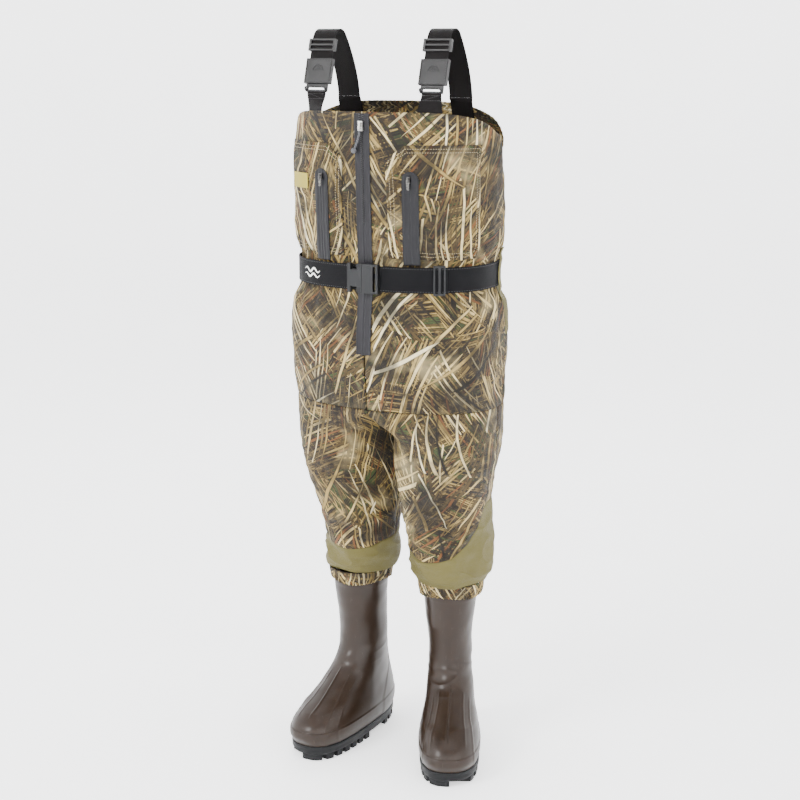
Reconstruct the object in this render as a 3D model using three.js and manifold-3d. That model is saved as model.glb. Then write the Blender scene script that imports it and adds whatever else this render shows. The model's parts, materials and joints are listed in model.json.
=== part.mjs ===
// Boot-foot chest waders: a camouflage bib and legs with olive shins, a front
// zip, two chest pockets, shoulder straps with quick-release buckles, a waist
// belt with a side-release buckle, and rubber boots with lugged outsoles.
//
// Millimetres. +Z is up, the wearer faces -Y and the wearer's left is +X.
// The origin is on the ground, under the centre of the part's bounding box.
import * as THREE from "three";
import { mergeVertices } from "three/addons/utils/BufferGeometryUtils.js";
import Module from "manifold-3d";

const wasm = await Module();
wasm.setup();

// ---------------------------------------------------------------- dimensions
const GAP = 0.3; // clearance between pieces that lie on each other
const SEAM = 0.3; // gap along a sewn seam
const CLOTH = 2.0; // shell fabric with its lining
const PATCH = 1.2; // a single layer sewn on the shell
const RAD = Math.PI / 180;

const CROTCH_Z = 735;
const BELT_Z = 985;
const YOKE_Z = [868, 968]; // the olive back yoke, between back and seat panels
const BIB_FRONT_Z = 1284;
const BIB_SIDE_Z = 1240;
const BIB_BACK_Z = 1298;
const BACK_HEM = 26; // height of the gathered elastic hem
const SIDE_SEAM = 98; // degrees round from the front centre

// Torso sections: height, half width, front depth, back depth, roundness
// (the exponent of a superellipse: 2 is an ellipse, more is squarer).
const TORSO = [
  [CROTCH_Z, 208, 138, 136, 2.3],
  [800, 212, 145, 140, 2.4],
  [870, 215, 146, 138, 2.4],
  [925, 210, 141, 131, 2.4],
  [955, 192, 137, 123, 2.4],
  [985, 188, 136, 122, 2.4],
  [1015, 192, 137, 122, 2.4],
  [1045, 203, 139.2, 122, 2.4],
  [1075, 205, 140.5, 119, 2.4],
  [1114, 207, 142.2, 110, 2.4],
  [1190, 208, 145.6, 84, 2.3],
  [1250, 207, 148.2, 50, 1.95],
  [1300, 204, 150.4, 28, 1.8],
];
// Height of the bib's top edge, by degrees round from the front centre.
const RIM = [
  [0, BIB_FRONT_Z],
  [45, BIB_FRONT_Z - 3],
  [68, BIB_FRONT_Z - 16],
  [92, BIB_SIDE_Z],
  [118, BIB_BACK_Z - 26],
  [145, BIB_BACK_Z - 4],
  [180, BIB_BACK_Z],
];
// Leg sections: height, centre x, centre y, half width, half depth.
const LEFT_LEG = [
  [CROTCH_Z, 104, 2, 104, 137],
  [650, 102, 10, 96, 130],
  [572, 94, 22, 86, 119],
  [498, 89, 38, 82, 108],
  [430, 88, 50, 80, 98],
  [380, 86, 59, 74, 85],
  [356, 83, 64, 66.5, 73],
  [330, 83, 64.5, 61.6, 66.4],
];
const RIGHT_LEG = [
  [CROTCH_Z, -104, 2, 104, 137],
  [650, -104, 8, 97, 128],
  [572, -103, 18, 87, 116],
  [498, -104, 32, 77, 100],
  [430, -108, 44, 71, 88],
  [380, -114, 54, 70, 80],
  [356, -119, 59.5, 65.5, 72],
  [330, -119.5, 60, 59.6, 64.6],
];
const LEG_SPLIT = 70; // below the crotch, the height over which the legs part
// Lower edge of the camouflage on a leg, by degrees round from its front.
const KNEE_EDGE = [
  [-90, 438],
  [-35, 424],
  [15, 424],
  [58, 456],
  [90, 520],
  [135, 530],
  [180, 530],
  [225, 505],
  [270, 438],
];
const SHIN_BOTTOM_Z = 356;
const HEM_BOTTOM_Z = 330;

// Boots, in their own frame: the toe points to -Y and the ankle is above 0, 0.
const BOOT_TOP_Z = 352;
const BOOT_WALL = 3.5;
const SOLE_TOP_Z = 30;
const LUG = 12; // depth of the tread
const LINER_WALL = 4;
const INSOLE_CLEAR = 2; // round the insole
const LINER_CLEAR = 0.6; // under the liner
const LINER_ROOM = 1; // round the liner
const SHAFT_START = 0.55; // share of the way up where the foot has become a shaft
const TOE_BEND = 30; // how strongly the toe turns inwards
const BOOT_GRID = [12, 18]; // rows and columns
const LINER_ROWS = BOOT_GRID[0] - 1; // the liner ends a row below the boot's top
const BOOTS = {
  left: { x: 80, y: 70, yaw: 26, side: 1 },
  right: { x: -119, y: 66, yaw: -8, side: -1 },
};
// Boot sections from the sole up: front y and z, back y and z, half width,
// and how much wider the front is than the back.
const BOOT = [
  [-213, 30, 82, 30, 56, 0.2],
  [-221, 48, 88, 50, 60, 0.2],
  [-214, 68, 87, 78, 59, 0.19],
  [-192, 86, 81, 104, 54, 0.16],
  [-152, 104, 74, 128, 50, 0.1],
  [-112, 126, 69, 152, 47, 0.06],
  [-78, 152, 64, 178, 45, 0.02],
  [-58, 188, 60, 205, 44, 0],
  [-54, 238, 58, 245, 45, 0],
  [-61, 300, 55, 300, 52, 0],
  [-66, BOOT_TOP_Z, 55, BOOT_TOP_Z, 56.5, 0],
];

// Zips, pockets and the label, sewn on the front.
const SEW = 0.9; // between sewn layers
const TAPE = 1.4; // thickness of a zip tape
const ZIP_WIDTH = 30;
const ZIP_TOP_Z = BIB_FRONT_Z - 3;
const ZIP_BOTTOM_Z = 842;
const POCKET_COLUMNS = [1, 7]; // of the front panel's ten, from the zip outwards
const POCKET_Z = [1022, 1226];
const POCKET_ZIP_X = 90;
const POCKET_ZIP_WIDTH = 30;
const POCKET_ZIP_Z = [1026, 1180];
const LABEL_X = [-168, -124];
const LABEL_Z = [1141, 1169];
const SLIDER_Z = 1250; // where the front slider rests
const POCKET_SLIDER_Z = 1160;
const PULL_CORD = 3.2;
const PULL_KNOB = 10;

// Webbing and its hardware.
const FIT = 0.3; // running clearance round a moving piece
const WEB = 2; // thickness of webbing
const STRAP_WEB = 46;
const STRAP_X = 117; // straps, each side of the centre
const STRAP_SEAM = { y: 17, z: 1306 }; // where a strap folds, at the back hem
const STRAP_BUCKLE = { reach: 121, lean: 17 }; // from that seam, and degrees
const STRAP_STRAIGHT = 38; // above the buckle, up to the shoulder
const SHOULDER_R = 24;
const SHOULDER_END = -50; // degrees: the strap's heading behind the shoulder
const LOWER_WEB = 38;
const LOWER_STRAP_Z = 1238;
const ANCHOR_Z = 1258;
// Strap buckle, in its own frame: z up the strap, -y outwards.
const SOCKET = { half: 27, top: 34, bottom: -12, front: -5, back: 4 };
const CAVITY = { front: -3.1, back: 2.4, top: 9 };
const TONGUE = { half: 19, tip: 6, shoulder: -13, foot: -27 };
const BUTTON = { radius: 10, z: 12, back: -2.6 };
const GLIDE = { half: 27.5, height: 22 };

const BELT_WEB = 47;
const BELT_OFF = 6.6; // the belt stands this far off the waist
const BELT_END_X = -8; // where the belt ends, behind the buckle's socket
// Belt buckle along x, from the front centre: socket, its mouth, then frame.
const BELT_BUCKLE = { left: -30, mouth: 0, right: 33, half: 27, thick: 9, throat: 16 };
const NOTCH_EDGE = 10; // from the mouth to the notch that a latch arm fills
// Latch arms: root is the hinge, and the catch slants out towards the tip.
const LATCH_SKIN = 2.6; // of the buckle, over the latch arms
const LATCH = {
  root: 18,
  tip: -22,
  inner: 11,
  outer: 15.6,
  catchStart: -11,
  catchEnd: -21,
  catchOut: 1.7,
};
const ADJUSTER_X = 137;
const ADJUSTER = { half: 11, wide: BELT_WEB / 2 + 3.5, clear: 0.8, wall: 1.6 };
const LOOPS = { left_side: 98, left_back: 149.4, right_back: 210.6, right_side: 262 };
const LOOP_DEG = 6; // width of a belt loop, in degrees
const LOOP_HALF = 51; // half its height
const LOOP_SEW = 1.5; // between its sewn ends and the shell

// ------------------------------------------------------------------- helpers
// Smooth curve through stations [[t, a, b, ...], ...], flat beyond the ends.
function along(stations, t) {
  const last = stations.length - 1;
  if (t <= stations[0][0]) return stations[0].slice(1);
  if (t >= stations[last][0]) return stations[last].slice(1);
  const i = stations.findIndex((s, k) => k < last && t < stations[k + 1][0]);
  const [p, q] = [stations[i], stations[i + 1]];
  const [before, after] = [
    stations[Math.max(i - 1, 0)],
    stations[Math.min(i + 2, last)],
  ];
  const h = q[0] - p[0];
  const w = (t - p[0]) / h;
  return p.slice(1).map((a, k) => {
    const b = q[k + 1];
    const slopeA = ((b - before[k + 1]) / (q[0] - before[0])) * h;
    const slopeB = ((after[k + 1] - a) / (after[0] - p[0])) * h;
    return (
      a * (2 * w ** 3 - 3 * w ** 2 + 1) +
      slopeA * (w ** 3 - 2 * w ** 2 + w) +
      b * (3 * w ** 2 - 2 * w ** 3) +
      slopeB * (w ** 3 - w ** 2)
    );
  });
}
const byHeight = (stations) => [...stations].sort((a, b) => a[0] - b[0]);
const smooth = (t) => t * t * (3 - 2 * t);
const constant = (value) => () => value;
const clamp01 = (t) => Math.min(1, Math.max(0, t));
const range = (n) => [...Array(n).keys()];

// A closed geometry from triangles of points, turned so that it faces out.
function geometryOf(triangles) {
  const volume = triangles.reduce(
    (sum, [a, b, c]) => sum + a.dot(b.clone().cross(c)),
    0,
  );
  const flat = triangles.flatMap(([a, b, c]) =>
    (volume > 0 ? [a, b, c] : [a, c, b]).flatMap((p) => p.toArray()),
  );
  const made = new THREE.BufferGeometry();
  made.setAttribute("position", new THREE.Float32BufferAttribute(flat, 3));
  return made;
}
const quad = (a, b, c, d) => [
  [a, b, c],
  [a, c, d],
];
// A sheet between an outer and an inner grid of points, each [row][column].
function sheet(outer, inner, round = false) {
  const [rows, columns] = [outer.length, outer[0].length];
  const next = (i) => (round ? (i + 1) % columns : i + 1);
  const steps = round ? columns : columns - 1;
  const faces = [];
  for (const j of range(rows - 1))
    for (const i of range(steps)) {
      const k = next(i);
      faces.push(
        ...quad(outer[j][i], outer[j][k], outer[j + 1][k], outer[j + 1][i]),
        ...quad(inner[j][k], inner[j][i], inner[j + 1][i], inner[j + 1][k]),
      );
    }
  for (const i of range(steps)) {
    const k = next(i);
    const top = rows - 1;
    faces.push(
      ...quad(inner[0][i], inner[0][k], outer[0][k], outer[0][i]),
      ...quad(outer[top][i], outer[top][k], inner[top][k], inner[top][i]),
    );
  }
  if (!round)
    for (const j of range(rows - 1)) {
      const end = columns - 1;
      faces.push(
        ...quad(outer[j][0], outer[j + 1][0], inner[j + 1][0], inner[j][0]),
        ...quad(
          inner[j][end],
          inner[j + 1][end],
          outer[j + 1][end],
          outer[j][end],
        ),
      );
    }
  return geometryOf(faces);
}
// A solid skin through rings of points, closed by a fan at each end.
function skin(rings) {
  const n = rings[0].length;
  const faces = [];
  for (const j of range(rings.length - 1))
    for (const i of range(n)) {
      const k = (i + 1) % n;
      faces.push(
        ...quad(rings[j][i], rings[j][k], rings[j + 1][k], rings[j + 1][i]),
      );
    }
  const cap = (ring, turn) => {
    const middle = ring
      .reduce((s, p) => s.add(p), new THREE.Vector3())
      .divideScalar(n);
    for (const i of range(n)) {
      const k = (i + 1) % n;
      faces.push(turn ? [middle, ring[i], ring[k]] : [middle, ring[k], ring[i]]);
    }
  };
  cap(rings[0], false);
  cap(rings[rings.length - 1], true);
  return geometryOf(faces);
}
// surface(u, v, offset) over a grid, from one offset to another.
function panel(surface, [u0, u1], [nu, nv], [inside, outside], round = false) {
  const grid = (off) =>
    range(nv + 1).map((j) =>
      range(nu + (round ? 0 : 1)).map((i) =>
        surface(u0 + ((u1 - u0) * i) / nu, j / nv, off),
      ),
    );
  return sheet(grid(outside), grid(inside), round);
}
const point = (x, y, z) => new THREE.Vector3(x, y, z);

function solidOf(geometry) {
  const bare = geometry.index ? geometry.toNonIndexed() : geometry.clone();
  bare.deleteAttribute("normal");
  bare.deleteAttribute("uv");
  const merged = mergeVertices(bare, 1e-4);
  return new wasm.Manifold(
    new wasm.Mesh({
      numProp: 3,
      vertProperties: merged.attributes.position.array,
      triVerts: new Uint32Array(merged.index.array),
    }),
  );
}
function geometryFrom(solid) {
  const mesh = solid.getMesh();
  const made = new THREE.BufferGeometry();
  const places = new Float32Array(mesh.numVert * 3);
  for (const i of range(mesh.numVert))
    places.set(
      mesh.vertProperties.subarray(i * mesh.numProp, i * mesh.numProp + 3),
      i * 3,
    );
  made.setAttribute("position", new THREE.BufferAttribute(places, 3));
  made.setIndex(new THREE.BufferAttribute(mesh.triVerts, 1));
  return made;
}
// A block between two corners, as a solid for cutting and joining.
function block([x0, y0, z0], [x1, y1, z1]) {
  const made = new THREE.BoxGeometry(x1 - x0, y1 - y0, z1 - z0);
  made.translate((x0 + x1) / 2, (y0 + y1) / 2, (z0 + z1) / 2);
  return solidOf(made);
}
const joined = (solids) => solids.reduce((a, b) => a.add(b));

const root = new THREE.Group();
const COLOURS = {
  camouflage: [0x8c8262, 0.85, 0],
  olive: [0x8f9368, 0.8, 0],
  webbing: [0x17171a, 0.75, 0],
  buckle: [0x3a3b3d, 0.5, 0],
  zip: [0x3b3c42, 0.45, 0],
  metal: [0xc9cacc, 0.3, 1],
  boot: [0x4f4238, 0.35, 0],
  sole: [0x16181a, 0.7, 0],
  lining: [0x6d6a60, 0.95, 0],
  label: [0xc9b838, 0.7, 0],
};
const materials = Object.fromEntries(
  Object.entries(COLOURS).map(([name, [color, roughness, metalness]]) => [
    name,
    new THREE.MeshStandardMaterial({ color, roughness, metalness }),
  ]),
);
function add(name, geometry, material, parent = root) {
  const mesh = new THREE.Mesh(geometry, materials[material]);
  mesh.name = name;
  parent.add(mesh);
  return mesh;
}

// --------------------------------------------------------------------- torso
const power = (value, exponent) =>
  Math.sign(value) * Math.abs(value) ** exponent;
// The torso's surface, degrees round from the front centre, at a height.
function torso(degrees, z, off = 0) {
  const [width, front, back, n] = along(TORSO, z);
  const [s, c] = [Math.sin(degrees * RAD), Math.cos(degrees * RAD)];
  const depth = c > 0 ? front : back;
  return point(
    (width + off) * power(s, 2 / n),
    -(depth + off) * power(c, 2 / n),
    z,
  );
}
// The same surface by its x, for what lies on the front.
function chest(x, z, off = 0) {
  const [width, front, , n] = along(TORSO, z);
  const share = Math.abs(x / (width + off)) ** n;
  return point(x, -(front + off) * (1 - share) ** (1 / n), z);
}
function back(x, z, off = 0) {
  const [width, , depth, n] = along(TORSO, z);
  const share = Math.abs(x / (width + off)) ** n;
  return point(x, (depth + off) * (1 - share) ** (1 / n), z);
}
const rimZ = (degrees) => {
  const round = Math.abs(((degrees + 540) % 360) - 180);
  return along(RIM, round)[0];
};

// Heights shared by everything sewn on the torso, so that layers lie evenly.
const LEVELS = [790, 850, 905, 940, 965, 985, 1005, 1030, 1060, 1110, 1150, 1190];
const rows = (low, high) => [
  low,
  ...LEVELS.filter((z) => z > low + 5 && z < high - 5),
  high,
];
// A panel of the torso from a level edge up to a shaped one.
function torsoPanel(from, to, low, top, columns) {
  const level = rows(low, LEVELS[LEVELS.length - 1] + 6);
  const shaped = 3;
  const count = level.length - 1 + shaped;
  const surface = (u, v, off) => {
    const row = Math.round(v * count);
    const start = level[level.length - 1];
    const share = (row - level.length + 1) / shaped;
    const z = row < level.length ? level[row] : start + (top(u) - start) * share;
    return torso(u, z, off);
  };
  return panel(surface, [from, to], [columns, count], [-CLOTH, 0]);
}
// A band of the torso between two level edges.
function torsoBand(from, to, low, high, columns, offsets) {
  const level = rows(low, high);
  const surface = (u, v, off) =>
    torso(u, level[Math.round(v * (level.length - 1))], off);
  return panel(surface, [from, to], [columns, level.length - 1], offsets);
}
const HALF_SEAM = SEAM / 2;
const SEAM_DEG = 0.1; // half of a vertical seam's gap, in degrees
const BACK = [SIDE_SEAM + SEAM_DEG, 360 - SIDE_SEAM - SEAM_DEG];
const FRONT_COLUMNS = 10;
const BACK_COLUMNS = 16;
for (const [name, from, to] of [
  ["front_panel_left", SEAM_DEG, SIDE_SEAM - SEAM_DEG],
  ["front_panel_right", SEAM_DEG - SIDE_SEAM, -SEAM_DEG],
])
  add(
    name,
    torsoPanel(from, to, CROTCH_Z + HALF_SEAM, rimZ, FRONT_COLUMNS),
    "camouflage",
  );
const backHemZ = (u) => rimZ(u) - BACK_HEM;
add(
  "back_panel",
  torsoPanel(
    ...BACK,
    YOKE_Z[1] + HALF_SEAM,
    (u) => backHemZ(u) - HALF_SEAM,
    BACK_COLUMNS,
  ),
  "camouflage",
);
add(
  "back_elastic_hem",
  panel(
    (u, v, off) => torso(u, rimZ(u) - (BACK_HEM - HALF_SEAM) * (1 - v), off),
    BACK,
    [BACK_COLUMNS, 2],
    [-CLOTH, 0],
  ),
  "camouflage",
);
const CLOTH_LAYER = [-CLOTH, 0];
add(
  "back_yoke",
  torsoBand(
    ...BACK,
    YOKE_Z[0] + HALF_SEAM,
    YOKE_Z[1] - HALF_SEAM,
    BACK_COLUMNS,
    CLOTH_LAYER,
  ),
  "olive",
);
add(
  "seat_panel",
  torsoBand(
    ...BACK,
    CROTCH_Z + HALF_SEAM,
    YOKE_Z[0] - HALF_SEAM,
    BACK_COLUMNS,
    CLOTH_LAYER,
  ),
  "camouflage",
);

// ------------------------------------------------------- zips, pockets, label
// A flat strip of height rows on the chest, with a shaped top edge.
function chestStrip(x, width, low, top, columns, [inside, outside]) {
  const highest = top(x);
  const level = rows(low, Math.min(highest, LEVELS[LEVELS.length - 1] + 6));
  const shaped = 2;
  const count = level.length - 1 + shaped;
  const surface = (u, v, off) => {
    const row = Math.round(v * count);
    const start = level[level.length - 2];
    const share = (row - level.length + 2) / (shaped + 1);
    const z =
      row < level.length - 1 ? level[row] : start + (top(u) - start) * share;
    return chest(u, z, off);
  };
  return panel(
    surface,
    [x - width / 2, x + width / 2],
    [columns, count],
    [inside, outside],
  );
}
const roundTop = (x, high, radius) => (u) =>
  high - radius + Math.sqrt(Math.max(radius ** 2 - (u - x) ** 2, 0));
add(
  "front_zip_tape",
  chestStrip(0, ZIP_WIDTH, ZIP_BOTTOM_Z, () => ZIP_TOP_Z, 4, [SEW, SEW + TAPE]),
  "zip",
);
for (const [side, sign] of [
  ["left", 1],
  ["right", -1],
]) {
  const edges = POCKET_COLUMNS.map((column) => {
    const share = column / FRONT_COLUMNS;
    return sign * (SEAM_DEG + (SIDE_SEAM - 2 * SEAM_DEG) * share);
  });
  add(
    `${side}_pocket_panel`,
    torsoBand(
      Math.min(...edges),
      Math.max(...edges),
      ...POCKET_Z,
      POCKET_COLUMNS[1] - POCKET_COLUMNS[0],
      [SEW, SEW + PATCH],
    ),
    "camouflage",
  );
  const onPocket = 2 * SEW + PATCH;
  add(
    `${side}_pocket_zip`,
    chestStrip(
      sign * POCKET_ZIP_X,
      POCKET_ZIP_WIDTH,
      POCKET_ZIP_Z[0],
      roundTop(sign * POCKET_ZIP_X, POCKET_ZIP_Z[1], POCKET_ZIP_WIDTH / 2),
      6,
      [onPocket, onPocket + TAPE],
    ),
    "zip",
  );
}
{
  const level = rows(...LABEL_Z);
  add(
    "label",
    panel(
      (u, v, off) => chest(u, level[Math.round(v * (level.length - 1))], off),
      LABEL_X,
      [4, level.length - 1],
      [2 * SEW + PATCH, 2 * SEW + 2 * PATCH],
    ),
    "label",
  );
}
// A zip slider rides on its tape: a body with a bridge, and a pull whose
// bar passes through the eye under that bridge. The group leans back with the
// chest, so that its own -Z is the line of travel.
const CHEST_LEAN = Math.atan2(
  TORSO[TORSO.length - 1][2] - TORSO[7][2],
  TORSO[TORSO.length - 1][0] - TORSO[7][0],
);
const BAR = 1.4; // thickness of a pull's bar
function zipSlider(name, x, z, offset, [wide, tall, thick], pull) {
  const group = new THREE.Group();
  group.position.copy(chest(x, z, offset));
  group.rotation.x = CHEST_LEAN;
  root.add(group);
  const eye = 1.5 * BAR + 2 * FIT; // room for the bar to turn
  const neck = wide / 4;
  const body = block([-wide / 2, -thick, 0], [wide / 2, 0, tall]);
  const bridge = block(
    [-neck, -thick - eye - BAR, tall * 0.2],
    [neck, -thick + 0.5, tall * 0.9],
  );
  const hole = block([-wide, -thick - eye, tall * 0.3], [wide, -thick, tall * 0.75]);
  const solid = body.add(bridge).subtract(hole);
  add(`${name}_slider`, geometryFrom(solid), "metal", group);
  const hinge = new THREE.Group();
  hinge.position.set(0, -thick - eye / 2, tall * 0.5);
  group.add(hinge);
  const reach = neck + FIT;
  const drop = tall * 0.3 + BAR;
  const half = BAR / 2;
  const link = joined([
    block([-reach - BAR, -half, -half], [reach + BAR, half, half]),
    block([-reach - BAR, -half, -drop - BAR], [reach + BAR, half, -drop]),
    block([-reach - BAR, -half, -drop - BAR], [-reach, half, half]),
    block([reach, -half, -drop - BAR], [reach + BAR, half, half]),
  ]);
  add(`${name}_pull`, geometryFrom(link.add(pull(-drop - half))), "zip", hinge);
}
// A cord pull, bent to one side as it hangs, with a knob on its end.
function cordPull(bend, length) {
  return (start) => {
    const end = point(bend, 1.6, start - length);
    const path = new THREE.CatmullRomCurve3([
      point(0, -1, start),
      point(bend * 0.3, -0.2, start - length * 0.35),
      end,
    ]);
    const section = new THREE.Shape().absarc(0, 0, PULL_CORD / 2, 0, 2 * Math.PI);
    const cord = new THREE.ExtrudeGeometry(section, {
      extrudePath: path,
      steps: 5,
      curveSegments: 4,
    });
    const knob = new THREE.SphereGeometry(PULL_KNOB / 2, 8, 6);
    knob.translate(...end.toArray());
    return solidOf(cord).add(solidOf(knob));
  };
}
// A small moulded tab that hangs straight down.
function tabPull(length) {
  return (start) => block([-2.4, -0.8, start - length], [2.4, 0.8, start]);
}
const ON_TAPE = 2 * SEW + TAPE;
const ON_POCKET_TAPE = 2 * SEW + PATCH + TAPE + SEW;
zipSlider(
  "front_zip",
  0,
  SLIDER_Z,
  ON_TAPE,
  [9, 18, 5],
  cordPull(-14, 36),
);
for (const [side, sign] of [
  ["left", 1],
  ["right", -1],
])
  zipSlider(
    `${side}_pocket_zip`,
    sign * POCKET_ZIP_X,
    POCKET_SLIDER_Z,
    ON_POCKET_TAPE,
    [6, 11, 3.5],
    tabPull(12),
  );

// ---------------------------------------------------------------------- legs
// A leg's surface: its sections are ellipses that flow into half of the
// torso's outline at the crotch. Degrees run round from the front, outwards.
function legSurface(stations, side) {
  const rising = byHeight(stations);
  return (degrees, z, off = 0) => {
    const [cx, cy, width, depth] = along(rising, z);
    const [s, c] = [Math.sin(degrees * RAD), Math.cos(degrees * RAD)];
    const ellipse = point(
      cx + side * (width + off) * s,
      cy - (depth + off) * c,
      z,
    );
    const split = clamp01((CROTCH_Z - z) / LEG_SPLIT);
    const half = torso(degrees, CROTCH_Z, off);
    half.x = side * (s > 0 ? half.x : HALF_SEAM - off);
    half.z = z;
    return half.lerp(ellipse, smooth(split));
  };
}
const kneeZ = (degrees) => along(KNEE_EDGE, ((degrees + 450) % 360) - 90)[0];
const LEGS = {
  left: legSurface(LEFT_LEG, 1),
  right: legSurface(RIGHT_LEG, -1),
};
for (const [side, surface] of Object.entries(LEGS)) {
  const between = (low, high) => (u, v, off) =>
    surface(u, low(u) + (high(u) - low(u)) * v, off);
  const thigh = between(
    (u) => kneeZ(u) + HALF_SEAM,
    constant(CROTCH_Z - HALF_SEAM),
  );
  const halves = {
    front: [SEAM_DEG - 90, 90 - SEAM_DEG],
    back: [270 - SEAM_DEG, 90 + SEAM_DEG],
  };
  for (const [half, edges] of Object.entries(halves))
    add(
      `${side}_leg_${half}`,
      panel(thigh, edges, [9, 7], [-CLOTH, 0]),
      "camouflage",
    );
  const shin = between(constant(SHIN_BOTTOM_Z), (u) => kneeZ(u) - HALF_SEAM - FIT);
  add(
    `${side}_shin`,
    panel(shin, [-90, 270], [18, 3], [-CLOTH, 0], true),
    "olive",
  );
  const hem = between(constant(HEM_BOTTOM_Z), constant(SHIN_BOTTOM_Z - SEAM));
  add(
    `${side}_hem_band`,
    panel(hem, [-90, 270], [18, 1], [-CLOTH, 0], true),
    "camouflage",
  );
}

// --------------------------------------------------------------------- boots
// A boot's surface: v runs from the sole to the top, degrees round from the toe.
// Each section is a tilted oval between a point of the front profile and one
// of the back profile, both moved square to their profiles by the inset.
const BOOT_STATIONS = BOOT.map((s, i) => [i / (BOOT.length - 1), ...s]);
function bootSection(v, inset) {
  const step = 0.01;
  const [low, high] = [v - step, v + step].map((t) =>
    along(BOOT_STATIONS, clamp01(t)),
  );
  const [fy, fz, by, bz, width, taper] = along(BOOT_STATIONS, v);
  const frontRun = Math.hypot(high[0] - low[0], high[1] - low[1]);
  const backRun = Math.hypot(high[2] - low[2], high[3] - low[3]);
  return {
    frontY: fy + (inset * (high[1] - low[1])) / frontRun,
    frontZ: fz - (inset * (high[0] - low[0])) / frontRun,
    backY: by - (inset * (high[3] - low[3])) / backRun,
    backZ: bz + (inset * (high[2] - low[2])) / backRun,
    width: width - inset,
    taper,
  };
}
function bootPoint(v, degrees, inset, side) {
  const { frontY, frontZ, backY, backZ, width, taper } = bootSection(v, inset);
  const [s, c] = [Math.sin(degrees * RAD), Math.cos(degrees * RAD)];
  const toe = (1 + c) / 2;
  const squareness = 0.8 + 0.2 * smooth(clamp01(v / SHAFT_START));
  const bend = -side * TOE_BEND * taper * toe ** 2;
  return point(
    bend + width * power(s, squareness) * (1 + taper * (c - 0.1)),
    (frontY + backY) / 2 + ((frontY - backY) / 2) * power(c, squareness),
    (frontZ + backZ) / 2 + ((frontZ - backZ) / 2) * power(c, squareness),
  );
}
function bootRings(v0, v1, rows, columns, inset, side, floor) {
  return range(rows + 1).map((j) =>
    range(columns).map((i) => {
      const p = bootPoint(
        v0 + ((v1 - v0) * j) / rows,
        (360 * i) / columns,
        inset,
        side,
      );
      p.z = Math.max(p.z, floor);
      return p;
    }),
  );
}
// A cup: open at the top, with an outer and an inner skin.
function cup(outer, inner) {
  const n = outer[0].length;
  const faces = [];
  const wall = (rings, turn) => {
    for (const j of range(rings.length - 1))
      for (const i of range(n)) {
        const k = (i + 1) % n;
        const [a, b] = turn ? [k, i] : [i, k];
        faces.push(
          ...quad(rings[j][a], rings[j][b], rings[j + 1][b], rings[j + 1][a]),
        );
      }
    const middle = rings[0]
      .reduce((s, p) => s.add(p), new THREE.Vector3())
      .divideScalar(n);
    for (const i of range(n)) {
      const k = (i + 1) % n;
      const [a, b] = turn ? [k, i] : [i, k];
      faces.push([middle, rings[0][b], rings[0][a]]);
    }
  };
  wall(outer, false);
  wall(inner, true);
  const [rimOut, rimIn] = [outer[outer.length - 1], inner[inner.length - 1]];
  for (const i of range(n)) {
    const k = (i + 1) % n;
    faces.push(...quad(rimOut[i], rimOut[k], rimIn[k], rimIn[i]));
  }
  return geometryOf(faces);
}
// The outsole: a plate that follows the boot's edge, on blocks of tread.
function outsole(side) {
  const EDGE = 3;
  const plateRing = (z, grow) =>
    range(22).map((i) => {
      const p = bootPoint(0, (360 * i) / 22, -grow, side);
      p.z = z;
      return p;
    });
  const plate = skin([
    plateRing(LUG - 0.2, 0),
    plateRing(LUG + 6, EDGE),
    plateRing(SOLE_TOP_Z - GAP, EDGE),
  ]);
  const SPACING = 26;
  const lugs = [];
  for (const row of range(6)) {
    const y = -196 + row * SPACING;
    const half = row === 0 ? 26 : 44;
    for (const sign of [-1, 1]) {
      const [x0, x1] = sign < 0 ? [-half - 4 * side, -3] : [3, half - 4 * side];
      lugs.push(block([x0, y, 0], [x1, y + 15, LUG + 2]));
    }
  }
  for (const row of range(3)) {
    const y = 10 + row * 23;
    const half = row === 2 ? 28 : 36;
    lugs.push(block([-half, y, 0], [-4, y + 15, LUG + 2]));
    lugs.push(block([4, y, 0], [half, y + 15, LUG + 2]));
  }
  return geometryFrom(solidOf(plate).add(joined(lugs)));
}
for (const [name, { x, y, yaw, side }] of Object.entries(BOOTS)) {
  const boot = new THREE.Group();
  boot.position.set(x, y, 0);
  boot.rotation.z = yaw * RAD;
  root.add(boot);
  const upperFloor = SOLE_TOP_Z + BOOT_WALL;
  add(
    `${name}_boot_upper`,
    cup(
      bootRings(0, 1, ...BOOT_GRID, 0, side, SOLE_TOP_Z),
      bootRings(0, 1, ...BOOT_GRID, BOOT_WALL, side, upperFloor),
    ),
    "boot",
    boot,
  );
  add(`${name}_outsole`, outsole(side), "sole", boot);
  const linerOut = BOOT_WALL + LINER_ROOM;
  const inner = linerOut + LINER_WALL;
  const floor = upperFloor + LINER_CLEAR;
  const liner = [0, LINER_ROWS / BOOT_GRID[0], LINER_ROWS, BOOT_GRID[1]];
  add(
    `${name}_boot_liner`,
    cup(
      bootRings(...liner, linerOut, side, floor),
      bootRings(...liner, inner, side, floor + LINER_WALL),
    ),
    "lining",
    boot,
  );
  const insoleRing = (z) =>
    range(14).map((i) => {
      const p = bootPoint(0, (360 * i) / 14, inner + INSOLE_CLEAR, side);
      p.z = z;
      return p;
    });
  const insoleZ = floor + LINER_WALL + GAP;
  add(
    `${name}_insole`,
    skin([insoleRing(insoleZ), insoleRing(insoleZ + 4)]),
    "lining",
    boot,
  );
}

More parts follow.
